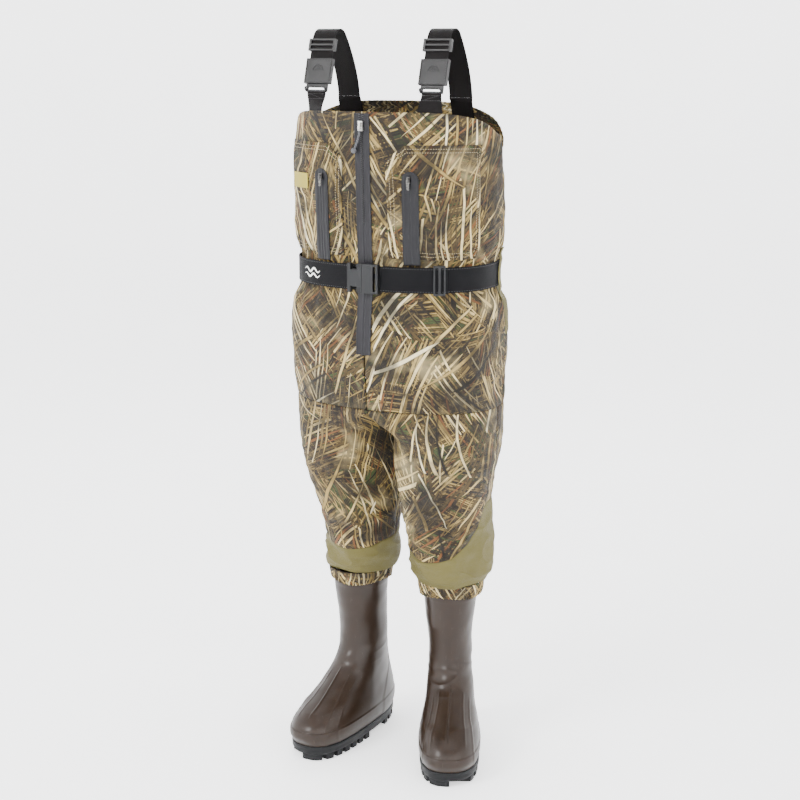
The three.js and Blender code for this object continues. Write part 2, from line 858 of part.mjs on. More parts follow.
// -------------------------------------------------------------------- straps
// A strap seen from the side: straight up from its buckle, over the shoulder,
// and down to its seam on the back hem. The buckle's plane is tangent to the
// circle about that seam, so the socket swings clear of its tongue.
const lean = STRAP_BUCKLE.lean * RAD;
const up = { y: Math.sin(lean), z: Math.cos(lean) };
const buckle = {
  y: STRAP_SEAM.y - STRAP_BUCKLE.reach * Math.cos(lean),
  z: STRAP_SEAM.z + STRAP_BUCKLE.reach * Math.sin(lean),
};
const strapAt = (distance) => ({
  y: buckle.y + up.y * distance,
  z: buckle.z + up.z * distance,
});
const FOLD = 0.6;
// A band of webbing along a curve in the YZ plane, at a given x.
function webbing(curve, x, width, steps) {
  const frame = (v) => {
    const at = curve.getPoint(v);
    const ahead = curve.getTangent(v);
    return { at, across: new THREE.Vector2(ahead.y, -ahead.x) };
  };
  const surface = (u, v, off) => {
    const { at, across } = frame(v);
    const thin = v === 1 ? off * FOLD : off; // thinned where it folds
    return point(u, at.x + across.x * thin, at.y + across.y * thin);
  };
  return panel(
    surface,
    [x - width / 2, x + width / 2],
    [1, steps],
    [-WEB / 2, WEB / 2],
  );
}
function strapCurve() {
  const start = strapAt(SOCKET.top + GAP);
  const bend = strapAt(SOCKET.top + STRAP_STRAIGHT);
  const centre = {
    y: bend.y + SHOULDER_R * Math.cos(lean),
    z: bend.z - SHOULDER_R * Math.sin(lean),
  };
  const end = SHOULDER_END * RAD;
  const behind = new THREE.Vector2(
    centre.y - SHOULDER_R * Math.sin(end),
    centre.z + SHOULDER_R * Math.cos(end),
  );
  const path = new THREE.CurvePath();
  path.add(
    new THREE.LineCurve(
      new THREE.Vector2(start.y, start.z),
      new THREE.Vector2(bend.y, bend.z),
    ),
  );
  path.add(
    new THREE.EllipseCurve(
      centre.y,
      centre.z,
      SHOULDER_R,
      SHOULDER_R,
      Math.PI - lean,
      end + Math.PI / 2,
      true,
    ),
  );
  const heading = new THREE.Vector2(Math.cos(end), Math.sin(end));
  path.add(
    new THREE.CubicBezierCurve(
      behind,
      behind.clone().addScaledVector(heading, 34),
      new THREE.Vector2(STRAP_SEAM.y - 3, STRAP_SEAM.z + 38),
      new THREE.Vector2(STRAP_SEAM.y, STRAP_SEAM.z),
    ),
  );
  return path;
}
// The buckle's socket: a flat box, open below for the tongue, with a D-shaped
// hole in its front for the release button.
function socket() {
  const { half, top, bottom, front, back } = SOCKET;
  const box = block([-half, front, bottom], [half, back, top]);
  const cavity = block(
    [-TONGUE.half - FIT, CAVITY.front, bottom - 1],
    [TONGUE.half + FIT, CAVITY.back, CAVITY.top],
  );
  const well = solidOf(buttonShape(BUTTON.radius + FIT, front - 1, CAVITY.front));
  const room = block(
    [-BUTTON.radius - FIT, CAVITY.front - 0.01, BUTTON.z - 1],
    [BUTTON.radius + FIT, CAVITY.back, BUTTON.z + BUTTON.radius + 1],
  );
  return geometryFrom(box.subtract(cavity).subtract(well).subtract(room));
}
// Half a disc, flat side down, between two depths.
function buttonShape(radius, front, back) {
  const outline = new THREE.Shape();
  outline.moveTo(-radius, 0);
  outline.lineTo(radius, 0);
  outline.absarc(0, 0, radius, 0, Math.PI);
  const made = new THREE.ExtrudeGeometry(outline, {
    depth: back - front,
    bevelEnabled: false,
    curveSegments: 12,
  });
  made.rotateX(Math.PI / 2);
  made.translate(0, back, BUTTON.z);
  return made;
}
// The tongue: a tapered blade above a shoulder with a slot for its webbing.
function tongue() {
  const { half, tip, shoulder, foot } = TONGUE;
  const blade = block([-half, -1.1, shoulder - 0.1], [half, 0.9, tip]);
  const plate = block([-half - 3, -2.6, foot], [half + 3, 2, shoulder]);
  const slot = block([-half + 1, -4, foot + 3.5], [half - 1, 4, foot + 8]);
  return geometryFrom(blade.add(plate).subtract(slot));
}
// A flat frame round the webbing, with two windows in front of its bar.
function triGlide() {
  const { half, height } = GLIDE;
  const frame = block([-half, -4, 0], [half, 3.4, height]);
  const tunnel = block(
    [-STRAP_WEB / 2 - FIT, -WEB / 2 - FIT, -1],
    [STRAP_WEB / 2 + FIT, WEB / 2 + FIT, height + 1],
  );
  const windows = [3, height / 2 + 1.5].map((z) =>
    block(
      [-STRAP_WEB / 2, -5, z],
      [STRAP_WEB / 2, -WEB / 2, z + height / 2 - 4.5],
    ),
  );
  return geometryFrom(frame.subtract(tunnel).subtract(joined(windows)));
}
// Webbing from inside the bib's front edge up to the tongue, turning to face
// forwards as it rises.
function lowerStrap(x) {
  const top = strapAt(TONGUE.foot - GAP);
  const rim = BIB_FRONT_Z;
  const inside = CLOTH + SEW + WEB;
  const surface = (u, v, off) => {
    const z = LOWER_STRAP_Z + (top.z - LOWER_STRAP_Z) * v;
    const sewn = chest(u, Math.min(z, rim), off - inside);
    const rise = smooth(clamp01((z - rim) / (top.z - rim)));
    sewn.y += (top.y - off - WEB / 2 - sewn.y) * rise;
    sewn.z = z;
    return sewn;
  };
  return panel(
    surface,
    [x - LOWER_WEB / 2, x + LOWER_WEB / 2],
    [4, 8],
    [0, WEB],
  );
}
// Webbing inside the back hem, rising to the fold of the strap.
function strapAnchor(x) {
  const top = STRAP_SEAM.z - FOLD * (WEB / 2) - FIT;
  const inside = CLOTH + SEW + WEB;
  const surface = (u, v, off) => {
    const z = ANCHOR_Z + (top - ANCHOR_Z) * v;
    const sewn = back(u, Math.min(z, BIB_BACK_Z), off - inside);
    const rise = smooth(clamp01((z - BIB_BACK_Z) / (top - BIB_BACK_Z)));
    sewn.y += (STRAP_SEAM.y + off - WEB / 2 - sewn.y) * rise;
    sewn.z = z;
    return sewn;
  };
  return panel(surface, [x - STRAP_WEB / 2, x + STRAP_WEB / 2], [3, 5], [0, WEB]);
}
for (const [side, sign] of [
  ["left", 1],
  ["right", -1],
]) {
  const x = sign * STRAP_X;
  const hardware = new THREE.Group();
  hardware.position.set(x, buckle.y, buckle.z);
  hardware.rotation.x = -lean;
  root.add(hardware);
  add(`${side}_lower_strap`, lowerStrap(x), "webbing");
  add(`${side}_strap_tongue`, tongue(), "buckle", hardware);
  add(`${side}_strap_socket`, socket(), "buckle", hardware);
  add(
    `${side}_strap_button`,
    buttonShape(BUTTON.radius, SOCKET.front, BUTTON.back),
    "buckle",
    hardware,
  );
  const glide = add(`${side}_strap_glide`, triGlide(), "buckle", hardware);
  glide.position.z = SOCKET.top + STRAP_STRAIGHT - GLIDE.height - 1;
  add(`${side}_strap`, webbing(strapCurve(), x, STRAP_WEB, 20), "webbing");
  add(`${side}_strap_anchor`, strapAnchor(x), "webbing");
}

// ---------------------------------------------------------------------- belt
const beltPoint = (u, off) => torso(u, BELT_Z, BELT_OFF + off);
function beltBand(from, to, columns, [inside, outside], height) {
  const surface = (u, v, off) => {
    const p = beltPoint(u, off);
    p.z = BELT_Z + height * (v - 0.5);
    return p;
  };
  return panel(surface, [from, to], [columns, 1], [inside, outside]);
}
// Degrees round the belt where its surface reaches an x on the front.
const degreesAt = (x, off) => {
  const [width, , , n] = along(TORSO, BELT_Z);
  const share = Math.abs(x) / (width + BELT_OFF + off);
  return (Math.sign(x) * Math.asin(share ** (n / 2))) / RAD;
};
const BELT_OUT = WEB + SEW; // the doubled layer in front
const beltStart = degreesAt(BELT_BUCKLE.right + 6, 0);
const beltEnd = 360 + degreesAt(BELT_END_X, 0);
add(
  "belt",
  beltBand(beltStart, beltEnd, 44, [0, WEB], BELT_WEB),
  "webbing",
);
const buckleGroup = new THREE.Group();
buckleGroup.position.set(0, beltPoint(0, BELT_OUT).y, BELT_Z);
root.add(buckleGroup);
const mirrored = (make) => [1, -1].map(make);
// The half that stays: a box open to the wearer's left, with a notch above
// and below where the latch arms catch.
function beltSocket() {
  const { left, mouth, half, thick, throat } = BELT_BUCKLE;
  const box = block([left, -thick, -half], [mouth, 0, half]);
  const opening = block(
    [left + 5, -thick + 2.2, -throat],
    [mouth + 1, -2.2, throat],
  );
  const notches = mirrored((sign) =>
    block(
      [left + 7, -thick - 1, sign > 0 ? throat - 0.5 : -half - 1],
      [mouth - NOTCH_EDGE, 1, sign > 0 ? half + 1 : 0.5 - throat],
    ),
  );
  return geometryFrom(box.subtract(opening).subtract(joined(notches)));
}
// The half that moves: a frame with a slot for the webbing and, on its other
// side, a short guide between two pockets for the latch arms.
function beltMale() {
  const { mouth, right, half, thick } = BELT_BUCKLE;
  const frame = block([mouth + GAP, -thick, -half], [right, 0, half]);
  const slot = block([right - 10, -thick - 1, -half + 4], [right - 5, 1, half - 4]);
  const guide = block([-10, -thick + 3, -2.4], [mouth + 1, -3, 2.4]);
  const pockets = mirrored((sign) => {
    const [low, high] = [4.5, LATCH.outer + 3 * FIT];
    return block(
      [mouth - 1, -thick + 2.4, sign > 0 ? low : -high],
      [LATCH.root + 2 + FIT, -2.4, sign > 0 ? high : -low],
    );
  });
  return geometryFrom(
    frame.subtract(slot).subtract(joined(pockets)).add(guide),
  );
}
// A latch arm, from its root in the frame to a tip with a slanted catch.
function latchArm(sign) {
  const { root: hinge, tip, inner, outer, catchStart, catchEnd, catchOut } = LATCH;
  const outline = new THREE.Shape(
    [
      [hinge + 2, inner],
      [hinge + 2, outer],
      [catchStart, outer],
      [catchEnd, outer + catchOut],
      [tip, outer - 1],
      [tip, inner],
    ].map(([x, z]) => new THREE.Vector2(x, sign * z)),
  );
  const depth = BELT_BUCKLE.thick - 2 * LATCH_SKIN;
  const arm = new THREE.ExtrudeGeometry(outline, { depth, bevelEnabled: false });
  arm.rotateX(Math.PI / 2);
  arm.translate(0, -LATCH_SKIN, 0);
  return arm;
}
add("belt_socket", beltSocket(), "buckle", buckleGroup);
add("belt_frame", beltMale(), "buckle", buckleGroup);
for (const [place, sign] of [
  ["upper", 1],
  ["lower", -1],
])
  add(`belt_latch_${place}`, latchArm(sign), "buckle", buckleGroup);
add(
  "belt_front_layer",
  beltBand(
    degreesAt(BELT_BUCKLE.right + GAP, BELT_OUT),
    degreesAt(ADJUSTER_X + ADJUSTER.half + 4, BELT_OUT),
    9,
    [BELT_OUT, BELT_OUT + WEB],
    BELT_WEB,
  ),
  "webbing",
);
// The adjuster: a flat frame over the front layer, open towards the belt
// behind it, with windows by its bar.
function adjuster() {
  const { half, wide, clear, wall } = ADJUSTER;
  const outer = BELT_OUT + WEB + clear;
  const frame = block([-half, -outer - wall, -wide], [half, 0, wide]);
  const web = BELT_WEB / 2 + clear;
  const tunnel = block([-half - 1, -outer, -web], [half + 1, 1, web]);
  const windows = mirrored((sign) =>
    block(
      [sign > 0 ? 2 : 2 - half + 1, -outer - wall - 1, -web + 1],
      [sign > 0 ? half - 3 : -2, -outer + 0.5, web - 1],
    ),
  );
  return geometryFrom(frame.subtract(tunnel).subtract(joined(windows)));
}
const adjusterAt = degreesAt(ADJUSTER_X, 0);
const [before, after] = [-2, 2].map((step) => beltPoint(adjusterAt + step, 0));
const adjusterGroup = new THREE.Group();
adjusterGroup.position.copy(beltPoint(adjusterAt, 0)).setZ(BELT_Z);
adjusterGroup.rotation.z = Math.atan2(after.y - before.y, after.x - before.x);
root.add(adjusterGroup);
add("belt_adjuster", adjuster(), "buckle", adjusterGroup);
for (const [place, degrees] of Object.entries(LOOPS)) {
  const surface = (u, v, off) => {
    const z = BELT_Z + LOOP_HALF * (1 - 2 * v);
    const over = smooth(clamp01((LOOP_HALF - 9 - Math.abs(z - BELT_Z)) / 15));
    const seat = LOOP_SEW + (BELT_OFF + WEB + 2 * FIT - LOOP_SEW) * over;
    return torso(u, z, seat + off);
  };
  add(
    `belt_loop_${place}`,
    panel(
      surface,
      [degrees - LOOP_DEG / 2, degrees + LOOP_DEG / 2],
      [1, 10],
      [0, PATCH],
    ),
    "olive",
  );
}

// ---------------------------------------------------------------- the origin
root.updateMatrixWorld(true);
const box = new THREE.Box3().setFromObject(root, true);
const middle = box.getCenter(new THREE.Vector3());
root.position.set(-middle.x, -middle.y, -box.min.z);
root.updateMatrixWorld(true);

export default root;
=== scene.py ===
"""Chest waders: the looks around the packed CAD frame.

Every new surface is worked out in millimetres in the part's own design frame,
whose y axis is moved a little against the row frame, and then written in metres.
"""

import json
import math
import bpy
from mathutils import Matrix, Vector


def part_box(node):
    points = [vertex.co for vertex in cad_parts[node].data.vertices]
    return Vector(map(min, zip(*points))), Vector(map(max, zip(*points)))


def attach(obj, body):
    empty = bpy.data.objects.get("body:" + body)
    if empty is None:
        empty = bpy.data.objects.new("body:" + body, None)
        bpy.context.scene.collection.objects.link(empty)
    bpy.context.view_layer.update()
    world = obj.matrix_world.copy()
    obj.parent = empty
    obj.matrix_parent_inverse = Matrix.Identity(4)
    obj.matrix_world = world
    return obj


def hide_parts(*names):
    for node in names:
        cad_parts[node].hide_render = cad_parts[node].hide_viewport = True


bl_info = {
    "name": "Chest Waders",
    "version": (1, 0, 0),
    "blender": (4, 5, 0),
    "location": "3D View > Sidebar > Waders",
    "description": "Builds boot-foot chest waders round their CAD frame",
    "category": "Add Mesh",
}

import bmesh
import bpy
import numpy as np
from mathutils import Vector

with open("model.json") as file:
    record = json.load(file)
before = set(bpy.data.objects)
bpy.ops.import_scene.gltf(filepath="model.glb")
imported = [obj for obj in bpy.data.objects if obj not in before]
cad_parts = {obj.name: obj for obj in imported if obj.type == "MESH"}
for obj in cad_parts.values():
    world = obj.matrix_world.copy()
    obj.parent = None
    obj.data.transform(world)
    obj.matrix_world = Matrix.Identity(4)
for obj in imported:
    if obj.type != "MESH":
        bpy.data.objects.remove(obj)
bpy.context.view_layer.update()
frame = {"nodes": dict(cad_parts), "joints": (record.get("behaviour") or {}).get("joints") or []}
JOINTS = {joint["name"]: joint for joint in frame["joints"]}
STRAP_SEAM = (117.0, 17.0, 1306.0)  # the left strap's fold, in the design frame
SHIFT = np.array(JOINTS["left_strap_release"]["pos_m"]) * 1000 - STRAP_SEAM
SIDES = (("left", 1), ("right", -1))

# ---------------------------------------------------------------- dimensions
CROTCH_Z = 735
BELT_Z = 985
YOKE_Z = (868, 968)
SIDE_SEAM = 98  # degrees round from the front centre
BACK_HEM = 26  # height of the elastic hem
CLOTH = 2.0
WEB = 2.0
SEW = 0.9  # from the cloth to the underside of what is sewn on it
TAPE = 1.4
PATCH = 1.2
HEM_CLOTH = 1.6
BAND_CLOTH = 1.4
BOOT_WALL = 3.5
# Torso: height, half width, front depth, back depth, superellipse exponent.
TORSO = (
    (735, 208, 138, 136, 2.3),
    (800, 212, 145, 140, 2.4),
    (870, 215, 146, 138, 2.4),
    (925, 210, 141, 131, 2.4),
    (955, 192, 137, 123, 2.4),
    (985, 188, 136, 122, 2.4),
    (1015, 192, 137, 122, 2.4),
    (1045, 203, 139.2, 122, 2.4),
    (1075, 205, 140.5, 119, 2.4),
    (1114, 207, 142.2, 110, 2.4),
    (1190, 208, 145.6, 84, 2.3),
    (1250, 207, 148.2, 50, 1.95),
    (1300, 204, 150.4, 28, 1.8),
)
RIM = ((0, 1284), (45, 1281), (68, 1268), (92, 1240), (118, 1272), (145, 1294), (180, 1298))
# Legs: height, centre x, centre y, half width, half depth.
LEGS = {
    "left": (
        (330, 83, 64.5, 61.6, 66.4),
        (356, 83, 64, 66.5, 73),
        (380, 86, 59, 74, 85),
        (430, 88, 50, 80, 98),
        (498, 89, 38, 82, 108),
        (572, 94, 22, 86, 119),
        (650, 102, 10, 96, 130),
        (735, 104, 2, 104, 137),
    ),
    "right": (
        (330, -119.5, 60, 59.6, 64.6),
        (356, -119, 59.5, 65.5, 72),
        (380, -114, 54, 70, 80),
        (430, -108, 44, 71, 88),
        (498, -104, 32, 77, 100),
        (572, -103, 18, 87, 116),
        (650, -104, 8, 97, 128),
        (735, -104, 2, 104, 137),
    ),
}
LEG_SPLIT = 70
KNEE_EDGE = (
    (-90, 438), (-35, 424), (15, 424), (58, 456), (90, 520),
    (135, 530), (180, 530), (225, 505), (270, 438),
)
SHIN_Z = 356
HEM_Z = 330
# Boots in their own frame: share of the way up, front y and z, back y and z,
# half width, and how much wider the front is than the back.
BOOT = tuple(
    (i / 10, *station)
    for i, station in enumerate((
        (-213, 30, 82, 30, 56, 0.2),
        (-221, 48, 88, 50, 60, 0.2),
        (-214, 68, 87, 78, 59, 0.19),
        (-192, 86, 81, 104, 54, 0.16),
        (-152, 104, 74, 128, 50, 0.1),
        (-112, 126, 69, 152, 47, 0.06),
        (-78, 152, 64, 178, 45, 0.02),
        (-58, 188, 60, 205, 44, 0),
        (-54, 238, 58, 245, 45, 0),
        (-61, 300, 55, 300, 52, 0),
        (-66, 352, 55, 352, 56.5, 0),
    ))
)
# Where each boot stands: x, y and degrees of turn.
BOOT_PLACE = {"left": (80, 70, 26), "right": (-119, 66, -8)}
TOE_BEND = 30
SOLE_TOP_Z = 30
LUG = 12
ZIP_HALF = 15
ZIP_Z = (842, 1281)
TEETH_Z = (1085, 1279)
POCKET_Z = (1022, 1226)
POCKET_ZIP_X = 90
POCKET_ZIP_Z = (1012, 1180)
LABEL_X = (-168, -124)
LABEL_Z = (1141, 1169)
STRAP_WEB = 46
LOWER_WEB = 38
STRAP_X = 117
# Each strap's buckle leans back, and its origin lies forward of the strap's fold.
BUCKLE_REACH = 121
BUCKLE_LEAN = math.radians(17)
BUCKLE_Y = STRAP_SEAM[1] - BUCKLE_REACH * math.cos(BUCKLE_LEAN)
BUCKLE_Z = STRAP_SEAM[2] + BUCKLE_REACH * math.sin(BUCKLE_LEAN)
BELT_OFF = 6.6  # from the torso to the belt's inner face
BELT_WEB = 47
# The chest's slope between two of the torso's sections.
CHEST_LEAN = math.atan2(TORSO[-1][2] - TORSO[7][2], TORSO[-1][0] - TORSO[7][0])
# The front zip's pull: a wire link, a cord that bends sideways, and a round knob.
LINK_HALF, LINK_DROP, LINK_WIRE = 3.25, 7.5, 0.75
CORD_LENGTH, CORD_BEND, CORD_RADIUS = 36, -14, 1.6
KNOB_RADIUS, KNOB_HALF = 5, 5.2
# Belt loops: name and degrees round from the front centre.
BELT_LOOPS = (("left_side", 98), ("left_back", 149.4), ("right_back", 210.6), ("right_side", 262))
CAMERA_AT = (1323, -2596, 1409)
CAMERA_YAW = math.radians(27)
CAMERA_PITCH = math.radians(13.2)


# ------------------------------------------------------------- maths helpers
def along(stations, t):
    """Cubic Hermite curve through (t, a, b, ...) stations with the slopes of
    their neighbours, flat beyond the ends; one array for each of a, b, ..."""
    table = np.array(stations, float)
    x, values = table[:, 0], table[:, 1:]
    t = np.clip(np.asarray(t, float), x[0], x[-1])
    i = np.clip(np.searchsorted(x, t, side="right") - 1, 0, len(x) - 2)
    before, after = np.maximum(i - 1, 0), np.minimum(i + 2, len(x) - 1)
    h = x[i + 1] - x[i]
    w = ((t - x[i]) / h)[..., None]
    slope_a = (values[i + 1] - values[before]) * (h / (x[i + 1] - x[before]))[..., None]
    slope_b = (values[after] - values[i]) * (h / (x[after] - x[i]))[..., None]
    curve = (
        values[i] * (2 * w**3 - 3 * w**2 + 1)
        + slope_a * (w**3 - 2 * w**2 + w)
        + values[i + 1] * (3 * w**2 - 2 * w**3)
        + slope_b * (w**3 - w**2)
    )
    return np.moveaxis(curve, -1, 0)


def power(value, exponent):
    """A power of the size of value that keeps its sign."""
    return np.sign(value) * np.abs(value) ** exponent


def ease(low, high, value):
    """0 below low and 1 above high, smooth between; low may be the larger."""
    t = np.clip((value - low) / (high - low), 0, 1)
    return t * t * (3 - 2 * t)


def bell(value, width):
    """1 at 0, falling on both sides as the exponential of minus a square."""
    return np.exp(-((value / width) ** 2))


def swell(points, seed, size, squash=(1, 1, 1)):
    """Smooth noise of about -1 to 1 over space: the mean of cosines along random
    directions, with wavelengths near size and each axis stretched by squash."""
    rng = np.random.default_rng(seed)
    total = 0
    count = 22
    for _ in range(count):
        way = rng.normal(size=3)
        way *= 2 * np.pi / (size * rng.uniform(0.7, 1.5) * np.linalg.norm(way))
        total = total + np.cos(points @ (way * np.array(squash)) + rng.uniform(0, 2 * np.pi))
    return total * math.sqrt(2 / count) / 1.6


def normal_at(base, a, b, steps=(0.4, 1.5)):
    """Unit normals of base(a, b) from central differences."""
    du = base(a + steps[0], b) - base(a - steps[0], b)
    dv = base(a, b + steps[1]) - base(a, b - steps[1])
    n = np.cross(du, dv)
    return n / np.linalg.norm(n, axis=-1, keepdims=True)


def run_of(line):
    """Distance along a line of points, from 0."""
    return np.concatenate([[0], np.linalg.norm(np.diff(line, axis=0), axis=1).cumsum()])


def even(line, start, end, count):
    """Parameters from start to end that space line(parameter) evenly."""
    t = np.linspace(start, end, 600)
    reach = run_of(line(t))
    return np.interp(np.linspace(0, reach[-1], count), reach, t)


def headings(path):
    """Unit directions along a path of points."""
    ahead = np.gradient(path, axis=0)
    return ahead / np.linalg.norm(ahead, axis=1, keepdims=True)


def level(z):
    """A panel's edge that keeps one height whatever it is asked for."""
    return lambda place: np.full(np.shape(place), float(z))


def xyz(*parts):
    """Points from their x, y and z, which may have different shapes."""
    return np.stack(np.broadcast_arrays(*parts), axis=-1).astype(float)


# ------------------------------------------------------------ the body shapes
def torso(degrees, z, off=0.0):
    """Superellipse round the torso: x is the half width times sin to 2/n, y the
    depth times cos to 2/n, with n and the sizes from the height's section."""
    width, front, back, n = along(TORSO, z)
    s, c = np.sin(np.radians(degrees)), np.cos(np.radians(degrees))
    depth = np.where(c > 0, front, back)
    return xyz((width + off) * power(s, 2 / n), -(depth + off) * power(c, 2 / n), z)


def degrees_at(x, z, off=0.0):
    """Degrees round the torso's front where its surface reaches x."""
    width, _, _, n = along(TORSO, z)
    share = np.clip(np.abs(x) / (width + off), 0, 1)
    return np.degrees(np.sign(x) * np.arcsin(share ** (n / 2)))


def rim_z(degrees):
    """Height of the bib's rim, the same on both sides."""
    return along(RIM, np.abs((np.asarray(degrees) + 540) % 360 - 180))[0]


def knee_z(degrees):
    """Height of the seam round the knee, in a leg's own degrees."""
    return along(KNEE_EDGE, (np.asarray(degrees) + 450) % 360 - 90)[0]


def settings():
    """The panel's values."""
    return bpy.context.scene.waders


def torso_folds(degrees, z, points):
    """Height of the cloth over the torso: pleats that fan out from the belt, broad
    billows, and creases, all fading where stiff tapes and the rim hold the cloth."""
    x = points[..., 0]
    wander = swell(points, 11, 190)
    reach = np.abs(z - BELT_Z)
    pleats = np.sin(np.radians(degrees) * 27 + 2.4 * wander)
    pleats += 0.55 * np.sin(np.radians(degrees) * 44 + 3.1 * swell(points, 12, 150))
    gathers = settings().gathers * 1000 * pleats * np.exp(-reach / 52) * ease(0, 26, reach + 10)
    billow = swell(points, 13, 170, (1, 1, 0.55))
    crease = 0.6 - np.abs(swell(points, 14, 84, (1, 1, 0.7))) ** 0.7
    fine = swell(points, 15, 31, (1, 1, 0.8))
    folds = settings().folds * 1000 * (0.62 * billow + 0.42 * crease + 0.1 * fine)
    height = folds * ease(1284, 1180, z) + folds * 0.25 + gathers
    hold = ease(14, 34, np.abs(x)) + (z < 800)
    on_front = np.cos(np.radians(degrees)) > 0
    zips = ease(16, 34, np.abs(np.abs(x) - POCKET_ZIP_X))
    zips = zips + ease(6, 25, z - POCKET_ZIP_Z[1]) + (z < POCKET_ZIP_Z[0] - 2)
    label = ease(26, 40, np.abs(x - sum(LABEL_X) / 2)) + ease(18, 32, np.abs(z - sum(LABEL_Z) / 2))
    hold = np.clip(hold, 0, 1) * np.where(on_front, np.clip(zips, 0, 1) * np.clip(label, 0, 1), 1)
    straps = ease(22, 40, np.abs(np.abs(x) - STRAP_X)) + ease(1262, 1225, z)
    hold = np.where(on_front, hold, 1) * np.clip(straps, 0.15, 1)
    seam = ease(CROTCH_Z, CROTCH_Z + 40, z)
    return np.clip(height * hold * seam, -7, 5.2)


def torso_cloth(degrees, z, off=0.0):
    """The torso's surface with its folds, off millimetres outside of the cloth."""
    degrees, z = np.broadcast_arrays(np.asarray(degrees, float), np.asarray(z, float))
    base = torso(degrees, z)
    height = torso_folds(degrees, z, base) + off
    return base + normal_at(torso, degrees, z) * height[..., None]


def leg(side):
    """A leg's surface as a function of degrees round from its front and height:
    ellipses that flow into half of the torso's outline at the crotch."""
    stations, sign = LEGS[side], dict(SIDES)[side]

    def surface(degrees, z):
        """The point at some degrees and a height."""
        cx, cy, width, depth = along(stations, z)
        s, c = np.sin(np.radians(degrees)), np.cos(np.radians(degrees))
        ellipse = xyz(cx + sign * width * s, cy - depth * c, z)
        half = torso(degrees, np.full(np.shape(degrees), CROTCH_Z, float))
        half[..., 0] = sign * np.where(s > 0, half[..., 0], 0.15)
        half[..., 2] = z
        split = np.clip((CROTCH_Z - z) / LEG_SPLIT, 0, 1)
        split = (split * split * (3 - 2 * split))[..., None]
        return half * (1 - split) + ellipse * split

    return surface


def leg_folds(side, degrees, z, points):
    """Height of the cloth over a leg: long drapes down the thigh, cross folds at
    the knee and above the hem, and drag lines from the crotch."""
    seed = 30 if side == "left" else 50
    s = np.sin(np.radians(degrees))
    drape = swell(points, seed, 105, (1, 1, 0.38))
    billow = swell(points, seed + 1, 160)
    cross = 0.55 - np.abs(swell(points, seed + 2, 62, (0.6, 0.6, 1.5))) ** 0.75
    drag = np.sin((points[..., 2] * 0.85 + np.abs(points[..., 0]) * 1.3) / 17 + 2 * billow)
    knee = bell(z - 470, 85) * (0.5 + 0.5 * np.cos(np.radians(degrees)))
    ankle = bell(z - 385, 32)
    crotch = bell(z - 668, 62) * ease(0.3, -0.7, s)
    folds = settings().folds * 1000
    height = folds * (0.75 * drape + 0.55 * billow + 0.95 * cross * (knee + ankle * 0.8) + 0.24 * cross)
    height += folds * 0.55 * drag * crotch
    height += 2.2 * ankle + folds * 0.12 * swell(points, seed + 3, 27)
    inside = ease(0.1, -0.6, s) * ease(600, 735, z)
    height = np.minimum(height, 6.5) * (1 - 0.8 * inside)
    return height * ease(CROTCH_Z, CROTCH_Z - 45, z) * ease(HEM_Z - 8, SHIN_Z + 12, z)


def leg_cloth(side):
    """A leg's surface with its folds, as a function like leg's."""
    base = leg(side)
    sign = dict(SIDES)[side]

    def surface(degrees, z, off=0.0):
        """The point at some degrees and a height, off millimetres outside."""
        degrees, z = np.broadcast_arrays(np.asarray(degrees, float), np.asarray(z, float))
        points = base(degrees, z)
        height = leg_folds(side, degrees, z, points) + off
        return points + sign * normal_at(base, degrees, z, (1.5, 1.5)) * height[..., None]

    return surface


def boot_section(v, inset):
    """The boot's stations at v, with its front and back profiles moved inwards along
    their own normals and its half width made smaller by inset."""
    step = 0.01
    low, high = along(BOOT, np.clip(v - step, 0, 1)), along(BOOT, np.clip(v + step, 0, 1))
    fy, fz, by, bz, width, taper = along(BOOT, v)
    front = np.hypot(high[0] - low[0], high[1] - low[1])
    back = np.hypot(high[2] - low[2], high[3] - low[3])
    return (
        fy + inset * (high[1] - low[1]) / front,
        fz - inset * (high[0] - low[0]) / front,
        by - inset * (high[3] - low[3]) / back,
        bz + inset * (high[2] - low[2]) / back,
        width - inset,
        taper,
    )


def boot_point(v, degrees, inset, sign):
    """A boot's surface in its own frame: each section is a tilted, slightly square
    oval between the front and the back profile, and the toe bends inwards."""
    fy, fz, by, bz, width, taper = boot_section(v, inset)
    s, c = np.sin(np.radians(degrees)), np.cos(np.radians(degrees))
    toe = (1 + c) / 2
    share = np.clip(v / 0.55, 0, 1)
    square = 0.8 + 0.2 * share * share * (3 - 2 * share)
    x = -sign * TOE_BEND * taper * toe**2 + width * power(s, square) * (1 + taper * (c - 0.1))
    y = (fy + by) / 2 + (fy - by) / 2 * power(c, square)
    z = (fz + bz) / 2 + (fz - bz) / 2 * power(c, square)
    return xyz(x, y, z)


def placed(points, side):
    """From a boot's own frame to the design frame."""
    x, y, yaw = BOOT_PLACE[side]
    a = math.radians(yaw)
    turned = points.copy()
    turned[..., 0] = x + points[..., 0] * math.cos(a) - points[..., 1] * math.sin(a)
    turned[..., 1] = y + points[..., 0] * math.sin(a) + points[..., 1] * math.cos(a)
    return turned


